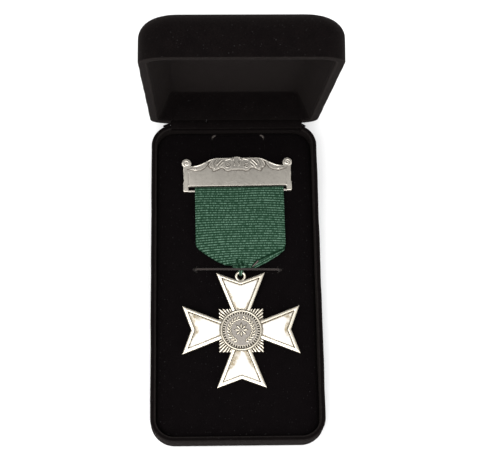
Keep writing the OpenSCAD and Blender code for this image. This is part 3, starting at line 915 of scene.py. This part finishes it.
def bar_tarnish_and_shade(x, y):
    """Tarnish and painted shade along the foot of the band and of the leaf field, and between the turns of
    the scrolls; darker towards the bar's foot.
    """
    x = np.abs(x)
    dark = np.maximum(groove(x, y, BAND_LOW, 0.24, 0.07), groove(x, y, FIELD_LOW, 0.26, 0.075)) * (y < 12.6)
    between = spiral(VOLUTE_AT, 0.85, 0.1, 200, -1.5)
    foot = 0.05 * (1 - smooth(y, 0.4, 0.9))
    return np.maximum(np.maximum(dark, foot), groove(x, y, between, 0.15, 0.035))


def make_bar(look):
    """The cast bar, and the flat rail under its slot."""
    outline = bar_outline()
    half = SIDE[4][0] + 0.5
    step = 0.13
    points, faces, hollow = relief(
        outline, bar_surface(outline), 0, lines(-half, half, step), lines(-0.2, BAR_H + 1.1, step))
    x, y, _ = points.T
    parts = Parts()
    # The bar's hollow value also carries tarnish and painted shade as dark lines along the relief's foot
    parts.add(points, faces, hollow + bar_tarnish_and_shade(x, y))

    def square(value):
        return copysign(abs(value) ** 0.25, value)

    rail = [
        [(x, RAIL["y"] + RAIL["high"] / 2 * (1 + 0.98 * square(cos(a))),
          RAIL["low"] + RAIL["thick"] / 2 * (1 + square(sin(a))))
         for a in circle(32)]
        for x in np.linspace(-SLOT_HALF - 0.6, SLOT_HALF + 0.6, 9)]
    parts.add(*loft(rail))
    to_frame = place(BAR_AT, BAR_TURN)
    made = solid("cast_bar", parts.points, parts.faces, look, CASE, to_frame, {"hollow": parts.values})
    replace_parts(made, "brooch_bar")


# Ribbon, in the bar's frame

RIBBON_X = 0.65
# The layers' thickness, and the height of the undersides of the front and the back one
CLOTH_T = 0.85
FRONT_Z = 1.25
BACK_Z = -0.75
RIB_PITCH = 1.0
RIB_HIGH = 0.16
# The mesh's steps over a rib and its points across the ribbon
STEPS_PER_RIB = 8
COLUMNS = 86
# The layers' top, where they start to turn over the rail, and the drape's point
TOP_Y = 2.0
TURN_Y = 0.55
POINT_Y = -31.7
# Edges from the top down: both layers' left edge, the front layer's right one, and the flap's
LEFT = [(-17.34, TOP_Y), (-17.34, -21.7), (-17.2, -22.3), (-16.4, -23.45), (-12.8, -26.3), (-9.1, -28.75),
        (-5.9, -30.28), (-3.2, -30.35), (-2.2, -31.0), (-1.6, POINT_Y)]
BACK_LEFT = [(-17.3, TOP_Y), (-17.3, -21.5), (-17.1, -22.1), (-16.2, -23.1), (-12.5, -25.8), (-8.9, -28.2),
             (-5.6, -29.8), (-2.6, -30.2), (-1.6, POINT_Y)]
FRONT_RIGHT = [(17.34, TOP_Y), (17.34, -22.4), (17.1, -23.5), (16.4, -24.1), (11.4, -26.15), (5.9, -28.75),
               (4.6, -30.4), (3.9, POINT_Y)]
FLAP_RIGHT = [(17.34, TOP_Y), (17.34, -22.4), (17.1, -23.6), (16.8, -24.4), (14.6, -26.35), (10.4, -29.0),
              (5.5, -31.45), (5.4, POINT_Y)]
# Creases where the front layer is drawn in: path, width and depth
CREASES = [
    ([(-1.6, -28.2), (-1.5, -29.7)], 0.32, 0.24),
    ([(0.2, -29.3), (0.7, -30.5), (1.7, -31.6)], 0.38, 0.42),
    ([(-0.9, -30.2), (-0.4, -31.5)], 0.25, 0.22),
    ([(2.2, -29.9), (2.5, -31.4)], 0.22, 0.18),
]
# A loose thread of the seam, in the gap under the front layer's right edge
LOOSE_THREAD = [(6.5, -28.75, 1.5), (5.9, -29.5, 1.55), (5.1, -30.3, 1.5), (4.3, -31.1, 1.3)]
# The drape gathers to this place, and is pulled through the eyelet
GATHER = (-0.15, -32.6)
# In the box's frame: where the neck starts, and how far over the eyelet's wire its loop lies
NECK_START = (2.0, 4.4)
LOOP_INNER = 0.08
LOOP_OUTER = 0.72


def across(table, y):
    """The outline's distance from the centre line at a height, from a table of its points."""
    rows = sorted((py, px) for px, py in table)
    return np.interp(y, [r[0] for r in rows], [r[1] for r in rows])


def ribs(row):
    """0 between ribs to 1 on a rib, from the count of ribs."""
    return np.abs(np.cos(pi * row)) ** 0.8


def woven(x, y):
    """The count of ribs down the ribbon. They wander a little, and turn up towards the gathered point."""
    drift = 0.20 * uneven(x, y, 26, 21) + 0.0011 * (x - 3) ** 2
    pulled = 0.9 * bell(x - GATHER[0], 5.5) * smooth(-y, 24, 32)
    return (y + drift - pulled) / RIB_PITCH


def turn_over(y):
    """How far a layer has sunk towards the rail where the ribbon turns over it."""
    t = np.clip((y - TURN_Y) / (TOP_Y - TURN_Y), 0, 1)
    return 1.3 * (1 - np.sqrt(1 - t * t))


def layer(left, right, upper, under):
    """A closed layer of cloth between two edges. upper(x, y) and under(x, y) give the height, rib value and
    count of ribs of its faces."""
    rows_y = np.arange(TOP_Y, POINT_Y, -RIB_PITCH / STEPS_PER_RIB)
    u = np.linspace(0, 1, COLUMNS)
    x = across(left, rows_y)[:, None] * (1 - u) + across(right, rows_y)[:, None] * u
    y = np.repeat(rows_y[:, None], COLUMNS, 1)
    points, values = [], []
    for side in (upper, under):
        z, rib_and_shade, row = side(x, y)
        points.append(np.stack([x, y, z + 0 * x], 2).reshape(-1, 3))
        values.append(np.stack([rib_and_shade + 0 * x, row + 0 * x], 2).reshape(-1, 2))
    size = x.size
    number = np.arange(size).reshape(x.shape)
    face_up = [face[::-1] for face in grid_faces(*x.shape)]
    faces = face_up + [[size + k for k in face[::-1]] for face in face_up]
    edge = [*number[0], *number[1:, -1], *number[-1, -2::-1], *number[-2:0:-1, 0]]
    edge = [int(k) for k in edge]
    faces += [[a, b, size + b, size + a] for a, b in zip(edge, edge[1:] + edge[:1])]
    return np.concatenate(points), faces, np.concatenate(values)


def make_drape():
    """The hanging drape: its front layer, folded behind along the slanted edges, and the back layer with
    the flap that shows below the front layer's right edge."""
    front_edge = LEFT + FRONT_RIGHT[::-1]
    flap_edge = BACK_LEFT + FLAP_RIGHT[::-1]
    fold_line = [(16.9, -24.2), (3.9, -31.2)]

    def lifted(y):
        return 0.85 * smooth(-y, 8, 27)

    def front_face(x, y):
        row = woven(x, y)
        rib_and_shade = ribs(row)
        inside = -in_polygon(x, y, front_edge)
        slanted = smooth(-y, 21.5, 24)
        rounding = np.where(slanted > 0, rounded(inside, 0.3 + 0.75 * slanted), rounded(inside, 0.3))
        away = np.hypot(x - GATHER[0], y - GATHER[1])
        angle = np.arctan2(x - GATHER[0], y - GATHER[1])
        folds = 0.16 * np.cos(9 * angle) * bell(away, 3.2)
        drawn, dark = 0.0, 0.0
        # Painted shade in the creases
        for path, width, depth in CREASES:
            drawn = drawn + groove(x, y, path, width, depth)
            dark = np.maximum(dark, groove(x, y, path, width, 0.8))
        # Painted shade along the front layer's slanted right edge
        rim = slanted * (1 - smooth(inside, 0, 0.5)) * smooth(x, 2, 6)
        billow = 0.10 * uneven(x, y, 30, 4) * smooth(-y, 0, 8)
        top = FRONT_Z + CLOTH_T + RIB_HIGH * (rib_and_shade - 1)
        return top + billow + folds - drawn - rounding - turn_over(y), rib_and_shade * (1 - dark) * (1 - 0.6 * rim), row

    def front_under(x, y):
        inside = -in_polygon(x, y, front_edge)
        sink = smooth(-y, 21.5, 24) * rounded(inside, 0.8)
        return FRONT_Z - 0.35 * turn_over(y) - sink, 0, 0

    def flap_face(x, y):
        far, _ = to_path(x, y, fold_line)
        # Painted shadow of the front layer's edge on the flap: its ribs fade to the dark ground near that
        # edge
        shaded = smooth(in_polygon(x, y, front_edge), 0.0, 0.45)
        row = 1.3 * far - 0.1 + 0.10 * uneven(x, y, 3, 30)
        rib_and_shade = ribs(row) * shaded
        inside = -in_polygon(x, y, flap_edge)
        seen = smooth(x, 2, 6) * smooth(-y, 22, 24)
        top = BACK_Z + CLOTH_T + lifted(y) + 0.6 * turn_over(y) - 0.25 * rounded(inside, 0.6)
        return top + seen * (0.22 * (rib_and_shade - 1) + 0.2), rib_and_shade * seen, row

    def back_face(x, y):
        row = woven(x, y)
        rib_and_shade = ribs(row)
        inside = -in_polygon(x, y, flap_edge)
        bend = smooth(-y, 21.5, 24) * 0.6 * rounded(inside, 0.8)
        return BACK_Z + lifted(y) + RIB_HIGH * (1 - rib_and_shade) + turn_over(y) + bend, rib_and_shade, row

    parts = Parts()
    parts.add(*layer(LEFT, FRONT_RIGHT, front_face, front_under))
    parts.add(*layer(BACK_LEFT, FLAP_RIGHT, flap_face, back_face))
    return parts


def add_neck(parts, from_frame):
    """The gathered strip from the drape's point to the eyelet, and its loop around the eyelet's wire.
    from_frame turns places in the box into places in the drape."""
    wire_at = CROSS_PLACE @ Vector((0.2, EYELET["y"] + EYELET["ring"], EYELET["wire"]))
    inner, outer = EYELET["wire"] + LOOP_INNER, EYELET["wire"] + LOOP_OUTER
    middle = (inner + outer) / 2
    section = circle(24)
    loop, neck = [], []
    for a in circle(40):
        towards_hole = 0.5 - 0.5 * cos(a)
        half = 1.05 - 0.45 * towards_hole
        outs = [middle + ((outer - inner) / 2 + 0.05 * cos(5 * b)) * sin(b) for b in section]
        loop.append([
            wire_at + Vector((half * cos(b), out * cos(a), out * sin(a)))
            for b, out in zip(section, outs)])
    start = Vector((*NECK_START, wire_at.z - 0.75))
    end = wire_at + Vector((0, middle, 0))
    for t in np.linspace(0, 1, 22):
        half = 2.6 * (1 - smooth(t, 0, 0.85)) + 0.95
        thick = 0.95 * (1 - t) + 0.42 * t
        highs = [(thick + 0.14 * cos(7 * b) * (1 - t)) * sin(b) for b in section]
        neck.append([
            start.lerp(end, t) + Vector((half * cos(b), 0, high)) for b, high in zip(section, highs)])
    for points, faces in (closed_loop(loop), loft(neck)):
        pleats = [5 * (k % len(section)) / len(section) for k in range(len(points))]
        parts.add(points, faces, np.array([(ribs(row), row) for row in pleats]), from_frame)


def make_ribbon(look):
    """The drape, its neck and a loose thread, as one piece of cloth."""
    to_frame = place(BAR_AT, BAR_TURN) @ Matrix.Translation((RIBBON_X, 0, 0))
    parts = make_drape()
    add_neck(parts, to_frame.inverted())
    cloth_points = len(parts.points)
    loose = spline(LOOSE_THREAD, 6)
    strand, strand_faces = loft(tube(loose, lambda i: (0.2, 0.12), 8))
    parts.add(strand, strand_faces, np.zeros((len(strand), 2)))
    thread = np.arange(len(parts.points)) >= cloth_points
    rib_and_shade, row = np.array(parts.values).T
    made = solid("ribbon_drape", parts.points, parts.faces, look, CASE, to_frame,
                 values={"rib_and_shade": rib_and_shade, "row": row, "thread": thread})
    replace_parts(made, "ribbon")


# Cross, in its own frame

# An arm's width at its end and beside the medallion, and the depth of the notch in its end
ARM_END = 18.5
ARM_NECK = 7.4
ARM_NOTCH = 3.4
# The borders' width, and the heights of the plate between them and of their tops
BORDER_W = 1.4
PLATE_T = 1.3
BORDER_T = 2.1
# The square of rays: its side, the height of the rays and between them, and degrees from one ray to the next
RAY_SQUARE = 16.8
RAY_T = 1.9
RAY_FOOT = 1.15
RAY_STEP = 6.0
# The medallion, the boss that carries it, and its place
MEDALLION_R = 8.1
BOSS_R = 8.15
MEDALLION_Y = -0.3
# The eyelet's place, its radius and its wire's
EYELET = {"y": 21.0, "ring": 1.66, "wire": 0.55}
ARM_SLOPE = (ARM_END - ARM_NECK) / 2 / (CROSS_HALF - MEDALLION_R)
VEE_SLOPE = ARM_NOTCH / (ARM_END / 2)
CROSS_PLACE = place(CROSS_AT, CROSS_TILT, "X")


def arm_points():
    """The upper arm's outline."""
    foot = 3.0
    neck = ARM_NECK / 2 + ARM_SLOPE * (foot - MEDALLION_R)
    vee = CROSS_HALF - ARM_NOTCH
    tip = (ARM_NECK / 2 + ARM_SLOPE * (vee - MEDALLION_R)) / (1 - ARM_SLOPE * VEE_SLOPE)
    tip_y = vee + VEE_SLOPE * tip
    return [(-neck, foot), (neck, foot), (tip, tip_y), (0, vee), (-tip, tip_y)]


def arms_distance(x, y):
    """Signed distance from the nearest of the four arms."""
    arm = arm_points()
    return np.minimum.reduce([
        in_polygon(x, y, arm), in_polygon(-x, -y, arm), in_polygon(y, -x, arm), in_polygon(-y, x, arm)])


def ray_wave(x, y):
    """0 between two rays to 1 along a ray, from the angle round the medallion."""
    angle = np.degrees(np.arctan2(y - MEDALLION_Y, x))
    return np.abs(np.cos(np.radians((angle - 45) * 180 / RAY_STEP)))


def cross_outline(x, y):
    """Signed distance from the arms, the square of rays with its fine teeth, and the eyelet's lug."""
    square = in_rectangle(x, y - MEDALLION_Y, RAY_SQUARE, RAY_SQUARE, 0.15) + 0.18 * (1 - ray_wave(x, y))
    lug = in_rectangle(x, y - (CROSS_HALF - ARM_NOTCH - 0.2), 2.2, 2, 0.3)
    return np.minimum(np.minimum(arms_distance(x, y) - 0.05, square), lug)


def cross_surface(x, y):
    """Height of the cross: borders that fall a little outwards, a groove inside them, and fluted rays."""
    arm_in = -arms_distance(x, y)
    from_middle = np.hypot(x, y - MEDALLION_Y)
    rays = RAY_FOOT + (RAY_T - RAY_FOOT) * smooth(ray_wave(x, y), 0.42, 0.74)
    slope = 0.08 * (1 - smooth(arm_in, 0, 0.8))
    border = BORDER_T - slope - 0.85 * smooth(arm_in, 1.08, 1.30)
    z = np.where(arm_in > -0.06, np.maximum(border, PLATE_T), rays)
    lug = (np.abs(x) < 1.1) & (arm_in < -0.06) & (y > CROSS_HALF - ARM_NOTCH - 2)
    z = np.where(lug, 1.1, z)
    boss = 1 - smooth(from_middle, BOSS_R, BOSS_R + 0.2)
    z = np.where(from_middle < BOSS_R - 0.3, RAY_T - 0.3, np.maximum(z, boss * RAY_T))
    return z - rounded(-cross_outline(x, y), 0.12)


def make_cross(look):
    """The cross in relief, darker along the edges of its arms, and its eyelet."""
    reach = CROSS_HALF + 0.4
    grid = lines(-reach, reach, 0.14)
    parts = Parts()
    points, faces, hollow = relief(cross_outline, cross_surface, 0, grid, grid)
    x, y, _ = points.T
    arm_in = -arms_distance(x, y)
    # The arms' outer edges are darkened through the hollow value and the tarnish colour
    at_edge = (1 - smooth(arm_in, 0.12, 0.5)) * (arm_in > -0.06)
    parts.add(points, faces, np.maximum(hollow, 0.11 * at_edge))
    wire = EYELET["wire"]
    rings = []
    for a in circle(64):
        outs = [EYELET["ring"] + wire * cos(b) for b in circle(20)]
        highs = [wire + wire * sin(b) for b in circle(20)]
        rings.append([
            (out * cos(a), EYELET["y"] + out * sin(a), high) for out, high in zip(outs, highs)])
    points, faces = closed_loop(rings)
    parts.add(points, [face[::-1] for face in faces])
    made = solid("cross_frame", parts.points, parts.faces, look, CASE, CROSS_PLACE, {"hollow": parts.values})
    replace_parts(made, "cross")


# The enamel: its gap from the borders, the height of its edge, and its dome over that
ENAMEL_GAP = 0.10
ENAMEL_Z = 1.72
ENAMEL_DOME = 0.26
# Where the enamel is warm and darker, partly as it is thin and partly as painted shade and reflection, in
# each arm's
# own frame: spots (across, along, and their half width and length), and bands along a border (its side, from
# and to along the arm, how far in, and how strong)
THIN_AND_SHADE = {
    "right": [(0.0, 17.0, 3.4, 0.9), (-5.2, 17.6, 1.8, 1.0)],
    "left": [(0.2, 16.4, 3.4, 1.9), (5.0, 17.2, 2.2, 1.6)],
}
THIN_AND_SHADE_BANDS = {
    "top": [(-1, 8.5, 16.5, 1.4, 1.0), (1, 8, 12.5, 0.8, 0.7)],
    "right": [(1, 8.5, 12, 0.6, 0.5), (-1, 8.5, 18, 0.35, 0.4)],
    "bottom": [(1, 8, 16, 2.2, 1.25), (-1, 8, 15.5, 1.35, 1.15)],
    "left": [(-1, 8.5, 13, 0.6, 0.5), (1, 8.5, 18, 0.35, 0.4)],
}


def make_enamel(look):
    """The four white fields, each a shallow dome between the borders."""
    arm = arm_points()

    def outline(x, y):
        field = in_polygon(x, y, arm) + BORDER_W + ENAMEL_GAP
        return np.maximum(field, BOSS_R + ENAMEL_GAP - np.hypot(x, y))

    def top(x, y):
        depth = -outline(x, y)
        return ENAMEL_Z + ENAMEL_DOME * smooth(depth, 0, 2.6) - rounded(depth, 0.22)

    step = 0.2
    x_lines, y_lines = lines(-ARM_END / 2, ARM_END / 2, step), lines(BOSS_R - 1.5, CROSS_HALF, step)
    points, faces, _ = relief(outline, top, PLATE_T + 0.05, x_lines, y_lines)
    x, y, _ = points.T
    near_edge = 1 - smooth(-outline(x, y), 0.1, 1.9)
    from_border = np.maximum(-in_polygon(x, y, arm) - BORDER_W - ENAMEL_GAP, 0)
    for name, turn in (("top", 0), ("right", -90), ("bottom", 180), ("left", 90)):
        spots = np.zeros(x.shape)
        for sx, sy, wide, long in THIN_AND_SHADE.get(name, []):
            spots += np.exp(-((x - sx) / wide) ** 2 - ((y - sy) / long) ** 2)
        # Warm, darker enamel near the borders, in the spots and in the bands: partly thin enamel, partly
        # painted shade and reflection
        thin_and_shade = (0.5 + 0.75 * near_edge) * spots + 0.16 * near_edge + 0.4 * bell(outline(x, y), 0.35)
        for side, start, end, reach, strength in THIN_AND_SHADE_BANDS[name]:
            along = smooth(y, start - 1, start) * (1 - smooth(y, end - 3, end + 1))
            thin_and_shade = thin_and_shade + strength * along * bell(from_border, reach) * (side * x > 0)
        to_frame = CROSS_PLACE @ Matrix.Rotation(radians(turn), 4, "Z")
        values = {"thin_and_shade": np.clip(thin_and_shade, 0, 1)}
        made = solid("enamel_field_" + name, points, faces, look, CASE, to_frame, values)
        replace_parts(made, "enamel_" + name)


# Medallion, in the cross's frame

FIELD_Z = 0.72
# The raised rim: its radius, half its width, and its foot and height
RIM_R = 7.48
RIM_HALF = 0.42
RIM_FOOT = 0.62
RIM_HIGH = 0.30
# The beads are what notches leave of a ring
BEADS = 44
BEAD_RING = 6.6
BEAD_DEEP = 0.62
# The wreath's pairs of leaves on each side, in degrees from the top
WREATH_R = 4.55
LEAVES = 11
LEAF_FIRST = 160
LEAF_STEP = 14
LEAF_LEAN = 35
LEAF_L = 1.5
LEAF_W = 0.62
# The star's long radius, how much shorter it is between two points, and its height
STAR_R = 2.9
STAR_CUT = 1.7
STAR_HIGH = 0.36


def medallion_surface(x, y):
    """Rim, a ring of notches, and an eight-pointed star in a wreath on a sunken field."""
    r = np.hypot(x, y)
    angle = np.arctan2(x, y)
    z = np.full(np.shape(x), FIELD_Z)
    z = np.maximum(z, RIM_FOOT + RIM_HIGH * np.sqrt(np.clip(1 - ((r - RIM_R) / RIM_HALF) ** 2, 0, 1)))
    z = z - 0.10 * smooth(r, 7.88, 7.96)
    side = np.abs(x)
    for i in range(LEAVES):
        at = radians(LEAF_FIRST - LEAF_STEP * i)
        root = (WREATH_R * sin(at), WREATH_R * cos(at))
        for lean in (-LEAF_LEAN, LEAF_LEAN):
            way = at - radians(90 + lean)
            tip = (root[0] + LEAF_L * sin(way), root[1] + LEAF_L * cos(way))
            z = np.maximum(z, FIELD_Z + ridge(side, y, [root, tip], LEAF_W, 0.26, 0.7))
    turn = np.abs((np.degrees(angle) + 22.5) % 45 - 22.5) / 22.5
    star = STAR_R - STAR_CUT * turn
    z = np.maximum(z, FIELD_Z + np.clip((star - r) * 0.6, 0, STAR_HIGH) * (1 - 0.35 * turn))
    between = 1 - smooth(np.abs(np.sin(BEADS * angle / 2)), 0.48, 0.76)
    in_ring = 1 - smooth(np.abs(r - BEAD_RING), 0.32, 0.44)
    return z - BEAD_DEEP * in_ring * between


def make_medallion(look):
    """The centre's relief. The beads are kept a little bright, and the notches between them tarnished."""
    def outline(x, y):
        return np.hypot(x, y) - MEDALLION_R

    def top(x, y):
        return medallion_surface(x, y) - rounded(-outline(x, y), 0.3)

    grid = lines(-MEDALLION_R - 0.2, MEDALLION_R + 0.2, 0.1)
    points, faces, hollow = relief(outline, top, 0, grid, grid)
    x, y, _ = points.T
    r = np.hypot(x, y)
    beside_beads = smooth(r, 5.7, 5.9) * (1 - smooth(r, 6.95, 7.1))
    hollow = np.where(beside_beads > 0, np.maximum(hollow, -0.03), hollow)
    to_frame = CROSS_PLACE @ Matrix.Translation((0, MEDALLION_Y, RAY_T - 0.15))
    made = solid("medallion_relief", points, faces, look, CASE, to_frame, values={"hollow": hollow})
    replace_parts(made, "medallion")


# Retaining elastic

CORD_R = 0.37
CORD_ROUTE = [
    (-15.45, 4.1, 9.6), (-15.45, 4.1, 12.0), (-15.1, 4.08, 12.85), (-14.0, 4.0, 13.3), (-7.0, 3.4, 15.1),
    (0.2, 2.75, 16.9), (1.7, 2.6, 17.05), (3.2, 2.75, 16.9), (9.5, 3.25, 15.0), (15.3, 3.7, 13.3),
    (16.4, 3.74, 12.85), (16.75, 3.75, 12.0), (16.75, 3.75, 9.6)]


def make_cord(look):
    """Braided elastic. Four strands wind round it each way, a quarter of a turn in each lay."""
    route = spline(CORD_ROUTE, 34)
    sides, lay = 20, 1.4
    strands = []
    travelled = 0.0
    rings = tube(route, lambda i: (CORD_R, CORD_R), sides, (0, 1, 0.2))
    for i, around in enumerate(rings):
        if i:
            travelled += (route[i] - route[i - 1]).length
        turn = 2 * pi * travelled / lay
        for k in range(sides):
            a = 2 * pi * k / sides
            high = max(cos(4 * a + turn), cos(4 * a - turn))
            strands.append(high)
            around[k] = around[k] + (around[k] - route[i]) * 0.09 * high
    points, faces = loft(rings)
    made = solid("retaining_elastic", points, faces, look, CASE, values={"strand": strands})
    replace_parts(made, "retaining_cord")


# Stage, light and camera

def make_stage():
    """A plain floor, in metres."""
    reach = 3.0
    corners = [(sx * reach, sy * reach, 0) for sx, sy in ((-1, -1), (1, -1), (1, 1), (-1, 1))]
    mesh = bpy.data.meshes.new("floor")
    mesh.from_pydata(corners, [], [[0, 1, 2, 3]])
    mesh.materials.append(floor_look())
    floor = linked("floor", mesh)


def soft_light(name, at, towards, size, power):
    """A square soft box, with its place and size in metres and its power in watts."""
    data = bpy.data.lights.new(name, "AREA")
    data.shape = "RECTANGLE"
    data.size = data.size_y = size
    data.energy = power
    made = linked(name, data)
    made.location = at
    made.rotation_mode = "QUATERNION"
    made.rotation_quaternion = (Vector(towards) - Vector(at)).to_track_quat("-Z", "Y")


def make_lights():
    """Even white light from all sides, and two soft boxes over and before the box."""
    world = bpy.data.worlds.new("studio")
    world.use_nodes = True
    background = world.node_tree.nodes["Background"]
    background.inputs["Color"].default_value = rgb(1, 1, 1)
    background.inputs["Strength"].default_value = 0.75
    bpy.context.scene.world = world
    soft_light("overhead", (-0.15, -0.25, 0.9), (0, 0, 0), 0.7, 9)
    soft_light("front", (0.5, -0.9, 0.7), (0, 0, 0.02), 0.6, 5)
    bpy.context.scene.view_settings.view_transform = "Standard"


def make_camera():
    """The camera, from its distance, shift and turns against the box's rim."""
    data = bpy.data.cameras.new("camera")
    camera = linked("camera", data)
    bpy.context.scene.camera = camera
    data.lens = FOCAL_PX * data.sensor_width / PICTURE_W
    data.clip_start, data.clip_end = 0.01, 20
    turn = Matrix.Identity(3)
    for axis, degrees in CAMERA_TURNS.items():
        turn = turn @ Matrix.Rotation(radians(degrees), 3, axis)
    at = turn.transposed() @ (Vector((0, 0, CAMERA_FAR)) - Vector(CAMERA_OFF)) + Vector((0, 0, HALF_H))
    camera.matrix_world = Matrix.Translation(at * MM) @ turn.transposed().to_4x4()


def finish_cad_node(name, look):
    """Gives a carried CAD node its material."""
    node = frame["nodes"][name]
    node.data.materials.clear()
    node.data.materials.append(look)


make_camera()
make_stage()
make_lights()

box_flock = flock(
    "flock", rgb(0.0019, 0.0014, 0.0015), rgb(0.0056, 0.0042, 0.0041), rgb(0.017, 0.016, 0.016), sheen=0.024)
pad_pile = flock(
    "pad_flock", rgb(0.0019, 0.0014, 0.0016), rgb(0.0040, 0.0030, 0.0032), rgb(0.018, 0.017, 0.017),
    sheen=0.012)
silver = cast_metal(
    "silver", rgb(0.64, 0.60, 0.535), rgb(0.80, 0.74, 0.64), rgb(0.22, 0.19, 0.16), roughness=0.46,
    hollows=(0.012, 0.055), edges=(0.015, 0.06))
bright_silver = cast_metal(
    "bright_silver", rgb(0.70, 0.645, 0.54), rgb(0.78, 0.715, 0.59), rgb(0.055, 0.043, 0.032), roughness=0.34,
    hollows=(0.06, 0.20), edges=(0.02, 0.09))
antique = cast_metal(
    "antique_silver", rgb(0.207, 0.190, 0.170), rgb(0.66, 0.60, 0.48), rgb(0.010, 0.009, 0.008),
    roughness=0.42, hollows=(0.10, 0.22), edges=(0.015, 0.06))

make_base(box_flock)
make_lid(box_flock)
make_hinge(box_flock)
make_pad(pad_pile)
make_bar(silver)
make_ribbon(grosgrain())
make_cross(bright_silver)
make_enamel(enamel_look())
make_medallion(antique)
make_cord(elastic_look())
finish_cad_node("hinge_pin", black_lacquer())
finish_cad_node("brooch_pin", plain_metal("pin_steel", rgb(0.6, 0.59, 0.57), 0.3))
